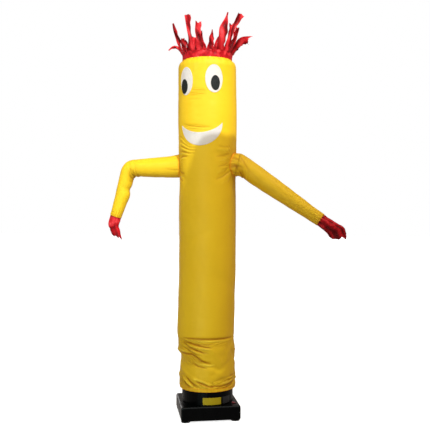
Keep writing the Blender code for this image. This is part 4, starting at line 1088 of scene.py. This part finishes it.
studio = {
    "viewTurn": 15.0, "camera": (0.978, -3.496, 1.046), "lens": 57.77,
    "sunTurn": 21.0, "sunRise": 32.0, "sun": 2.75, "sunAngle": 1.4, "sunColour": (0.9, 1.03, 1.12),
    "spotPlace": (-2.266, -3.924, 3.413), "spotTarget": (-0.979, 0.0, 2.013), "spotHalf": 13.28,
    "spot": 252.0, "spotBlend": 0.1, "spotSize": 0.12,
    "ambient": 0.36, "ambientColour": (1.0, 0.92, 0.86, 1.0), "floor": 0.8, "flagDistance": 1.3}
viewTurn = math.radians(studio["viewTurn"])
right = Vector((math.cos(viewTurn), math.sin(viewTurn), 0.0))
away = Vector((-math.sin(viewTurn), math.cos(viewTurn), 0.0))

scene = bpy.context.scene
scene.view_settings.view_transform = "Standard"
cameraData = bpy.data.cameras.new("camera")
cameraData.lens = studio["lens"]
cameraData.sensor_width = 36.0
camera = bpy.data.objects.new("camera", cameraData)
camera.location = studio["camera"]
camera.rotation_euler = (math.radians(90.0), 0.0, viewTurn)
scene.collection.objects.link(camera)
scene.camera = camera

world = bpy.data.worlds.new("studio")
world.use_nodes = True
scene.world = world
tree = world.node_tree
# the camera sees plain white behind, and the ambient light is tinted
backdrop, seen = tree.nodes["Background"], tree.nodes.new("ShaderNodeBackground")
seen.inputs["Color"].default_value = (1.0, 1.0, 1.0, 1.0)
backdrop.inputs["Color"].default_value = studio["ambientColour"]
backdrop.inputs["Strength"].default_value = studio["ambient"]
choice, ray = tree.nodes.new("ShaderNodeMixShader"), tree.nodes.new("ShaderNodeLightPath")
tree.links.new(ray.outputs["Is Camera Ray"], choice.inputs[0])
tree.links.new(backdrop.outputs[0], choice.inputs[1])
tree.links.new(seen.outputs[0], choice.inputs[2])
tree.links.new(choice.outputs[0], tree.nodes["World Output"].inputs["Surface"])


def addLight(name, kind, place, target, energy, colour, **settings):
    data = bpy.data.lights.new(name, kind)
    data.energy, data.color = energy, colour
    for setting, value in settings.items():
        setattr(data, setting, value)
    light = bpy.data.objects.new(name, data)
    light.location = place
    light.rotation_euler = (Vector(target) - Vector(place)).to_track_quat("-Z", "Y").to_euler()
    scene.collection.objects.link(light)


def fromView(turn, rise, distance, height=1.0):
    # a place at a turn round from the camera's side, to its right over 0
    turn, rise = math.radians(turn), math.radians(rise)
    flat = right * math.sin(turn) - away * math.cos(turn)
    return flat * math.cos(rise) * distance + Vector((0, 0, height + math.sin(rise) * distance))


sunWay = fromView(studio["sunTurn"], studio["sunRise"], 1.0, 0.0).normalized()
addLight("key", "SUN", sunWay * 6.0, (0, 0, 0), studio["sun"], studio["sunColour"],
         angle=math.radians(studio["sunAngle"]))
addLight("leftSpot", "SPOT", studio["spotPlace"], studio["spotTarget"], studio["spot"], studio["sunColour"],
         spot_size=math.radians(2.0 * studio["spotHalf"]), spot_blend=studio["spotBlend"],
         shadow_soft_size=studio["spotSize"])
# place, target, energy, colour and size
areaLights = {
    "fill": (fromView(-18.0, 14.0, 4.5), (0, 0, 0.9), 51.0, (0.94, 1.0, 0.93), 2.4),
    "topRight": (fromView(55.0, 50.0, 3.6), (0.2, 0, 0.9), 23.0, (1.0, 0.95, 0.8), 1.6),
    "side": (fromView(80.0, 4.0, 3.4), (0, 0, 0.7), 5.5, (1.0, 0.35, 0.05), 1.8),
    "low": (fromView(-20.0, 0.0, 1.6, 0.25), (0, 0, 0.28), 7.5, (0.62, 1.0, 1.0), 0.8),
    "back": ((-2.5, 3.2, 0.55), (0, 0, 0.1), 11.0, (1.0, 1.0, 1.0), 1.4),
    "top": ((0.8, -0.9, 4.0), (0, 0, 0.1), 28.0, (0.95, 1.0, 1.0), 1.4)}
for name, (place, target, energy, colour, size) in areaLights.items():
    addLight(name, "AREA", place, target, energy, colour, size=size)

floorMesh = bpy.data.meshes.new("floor")
floorMesh.from_pydata([(-30, -30, 0), (30, -30, 0), (30, 30, 0), (-30, 30, 0)], [], [(0, 1, 2, 3)])
floor = bpy.data.objects.new("floor", floorMesh)
scene.collection.objects.link(floor)
pale = Finish("pale_floor", Base_Color=(0.9, 0.9, 0.9, 1.0), Roughness=0.9,
              Emission_Color=(1.0, 1.0, 1.0, 1.0), Emission_Strength=studio["floor"])
floorMesh.materials.append(pale.material)
floor.visible_diffuse = floor.visible_glossy = False

# A flag shades the chest, the right arm and all below. Turn and height of its edge's
# shadow on the tube, from the right
flagEdge = [(88.0, 1.458), (60.0, 1.452), (30.0, 1.458), (12.0, 1.452), (1.0, 1.432), (-8.0, 1.4),
            (-15.0, 1.348), (-27.0, 1.29), (-41.0, 1.232), (-61.0, 1.155)]
edgePoints = [Vector(p) for p in onTube(*zip(*flagEdge), fine=False)[0]]
edgePoints = [edgePoints[0] + right * 3.0] + edgePoints
edgePoints.append(edgePoints[-1] - right * 1.2 - Vector((0, 0, 2.4)))
corner = edgePoints[-1] + right * 5.0
flagMesh = bpy.data.meshes.new("flag")
flagPoints = [p + sunWay * studio["flagDistance"] for p in [corner] + edgePoints]
flagFaces = [(0, n, n + 1) for n in range(1, len(flagPoints) - 1)]
flagMesh.from_pydata([tuple(p) for p in flagPoints], [], flagFaces)
flag = bpy.data.objects.new("flag", flagMesh)
scene.collection.objects.link(flag)
for unseen in ("visible_camera", "visible_diffuse", "visible_glossy", "visible_transmission"):
    setattr(flag, unseen, False)
print("studio made")
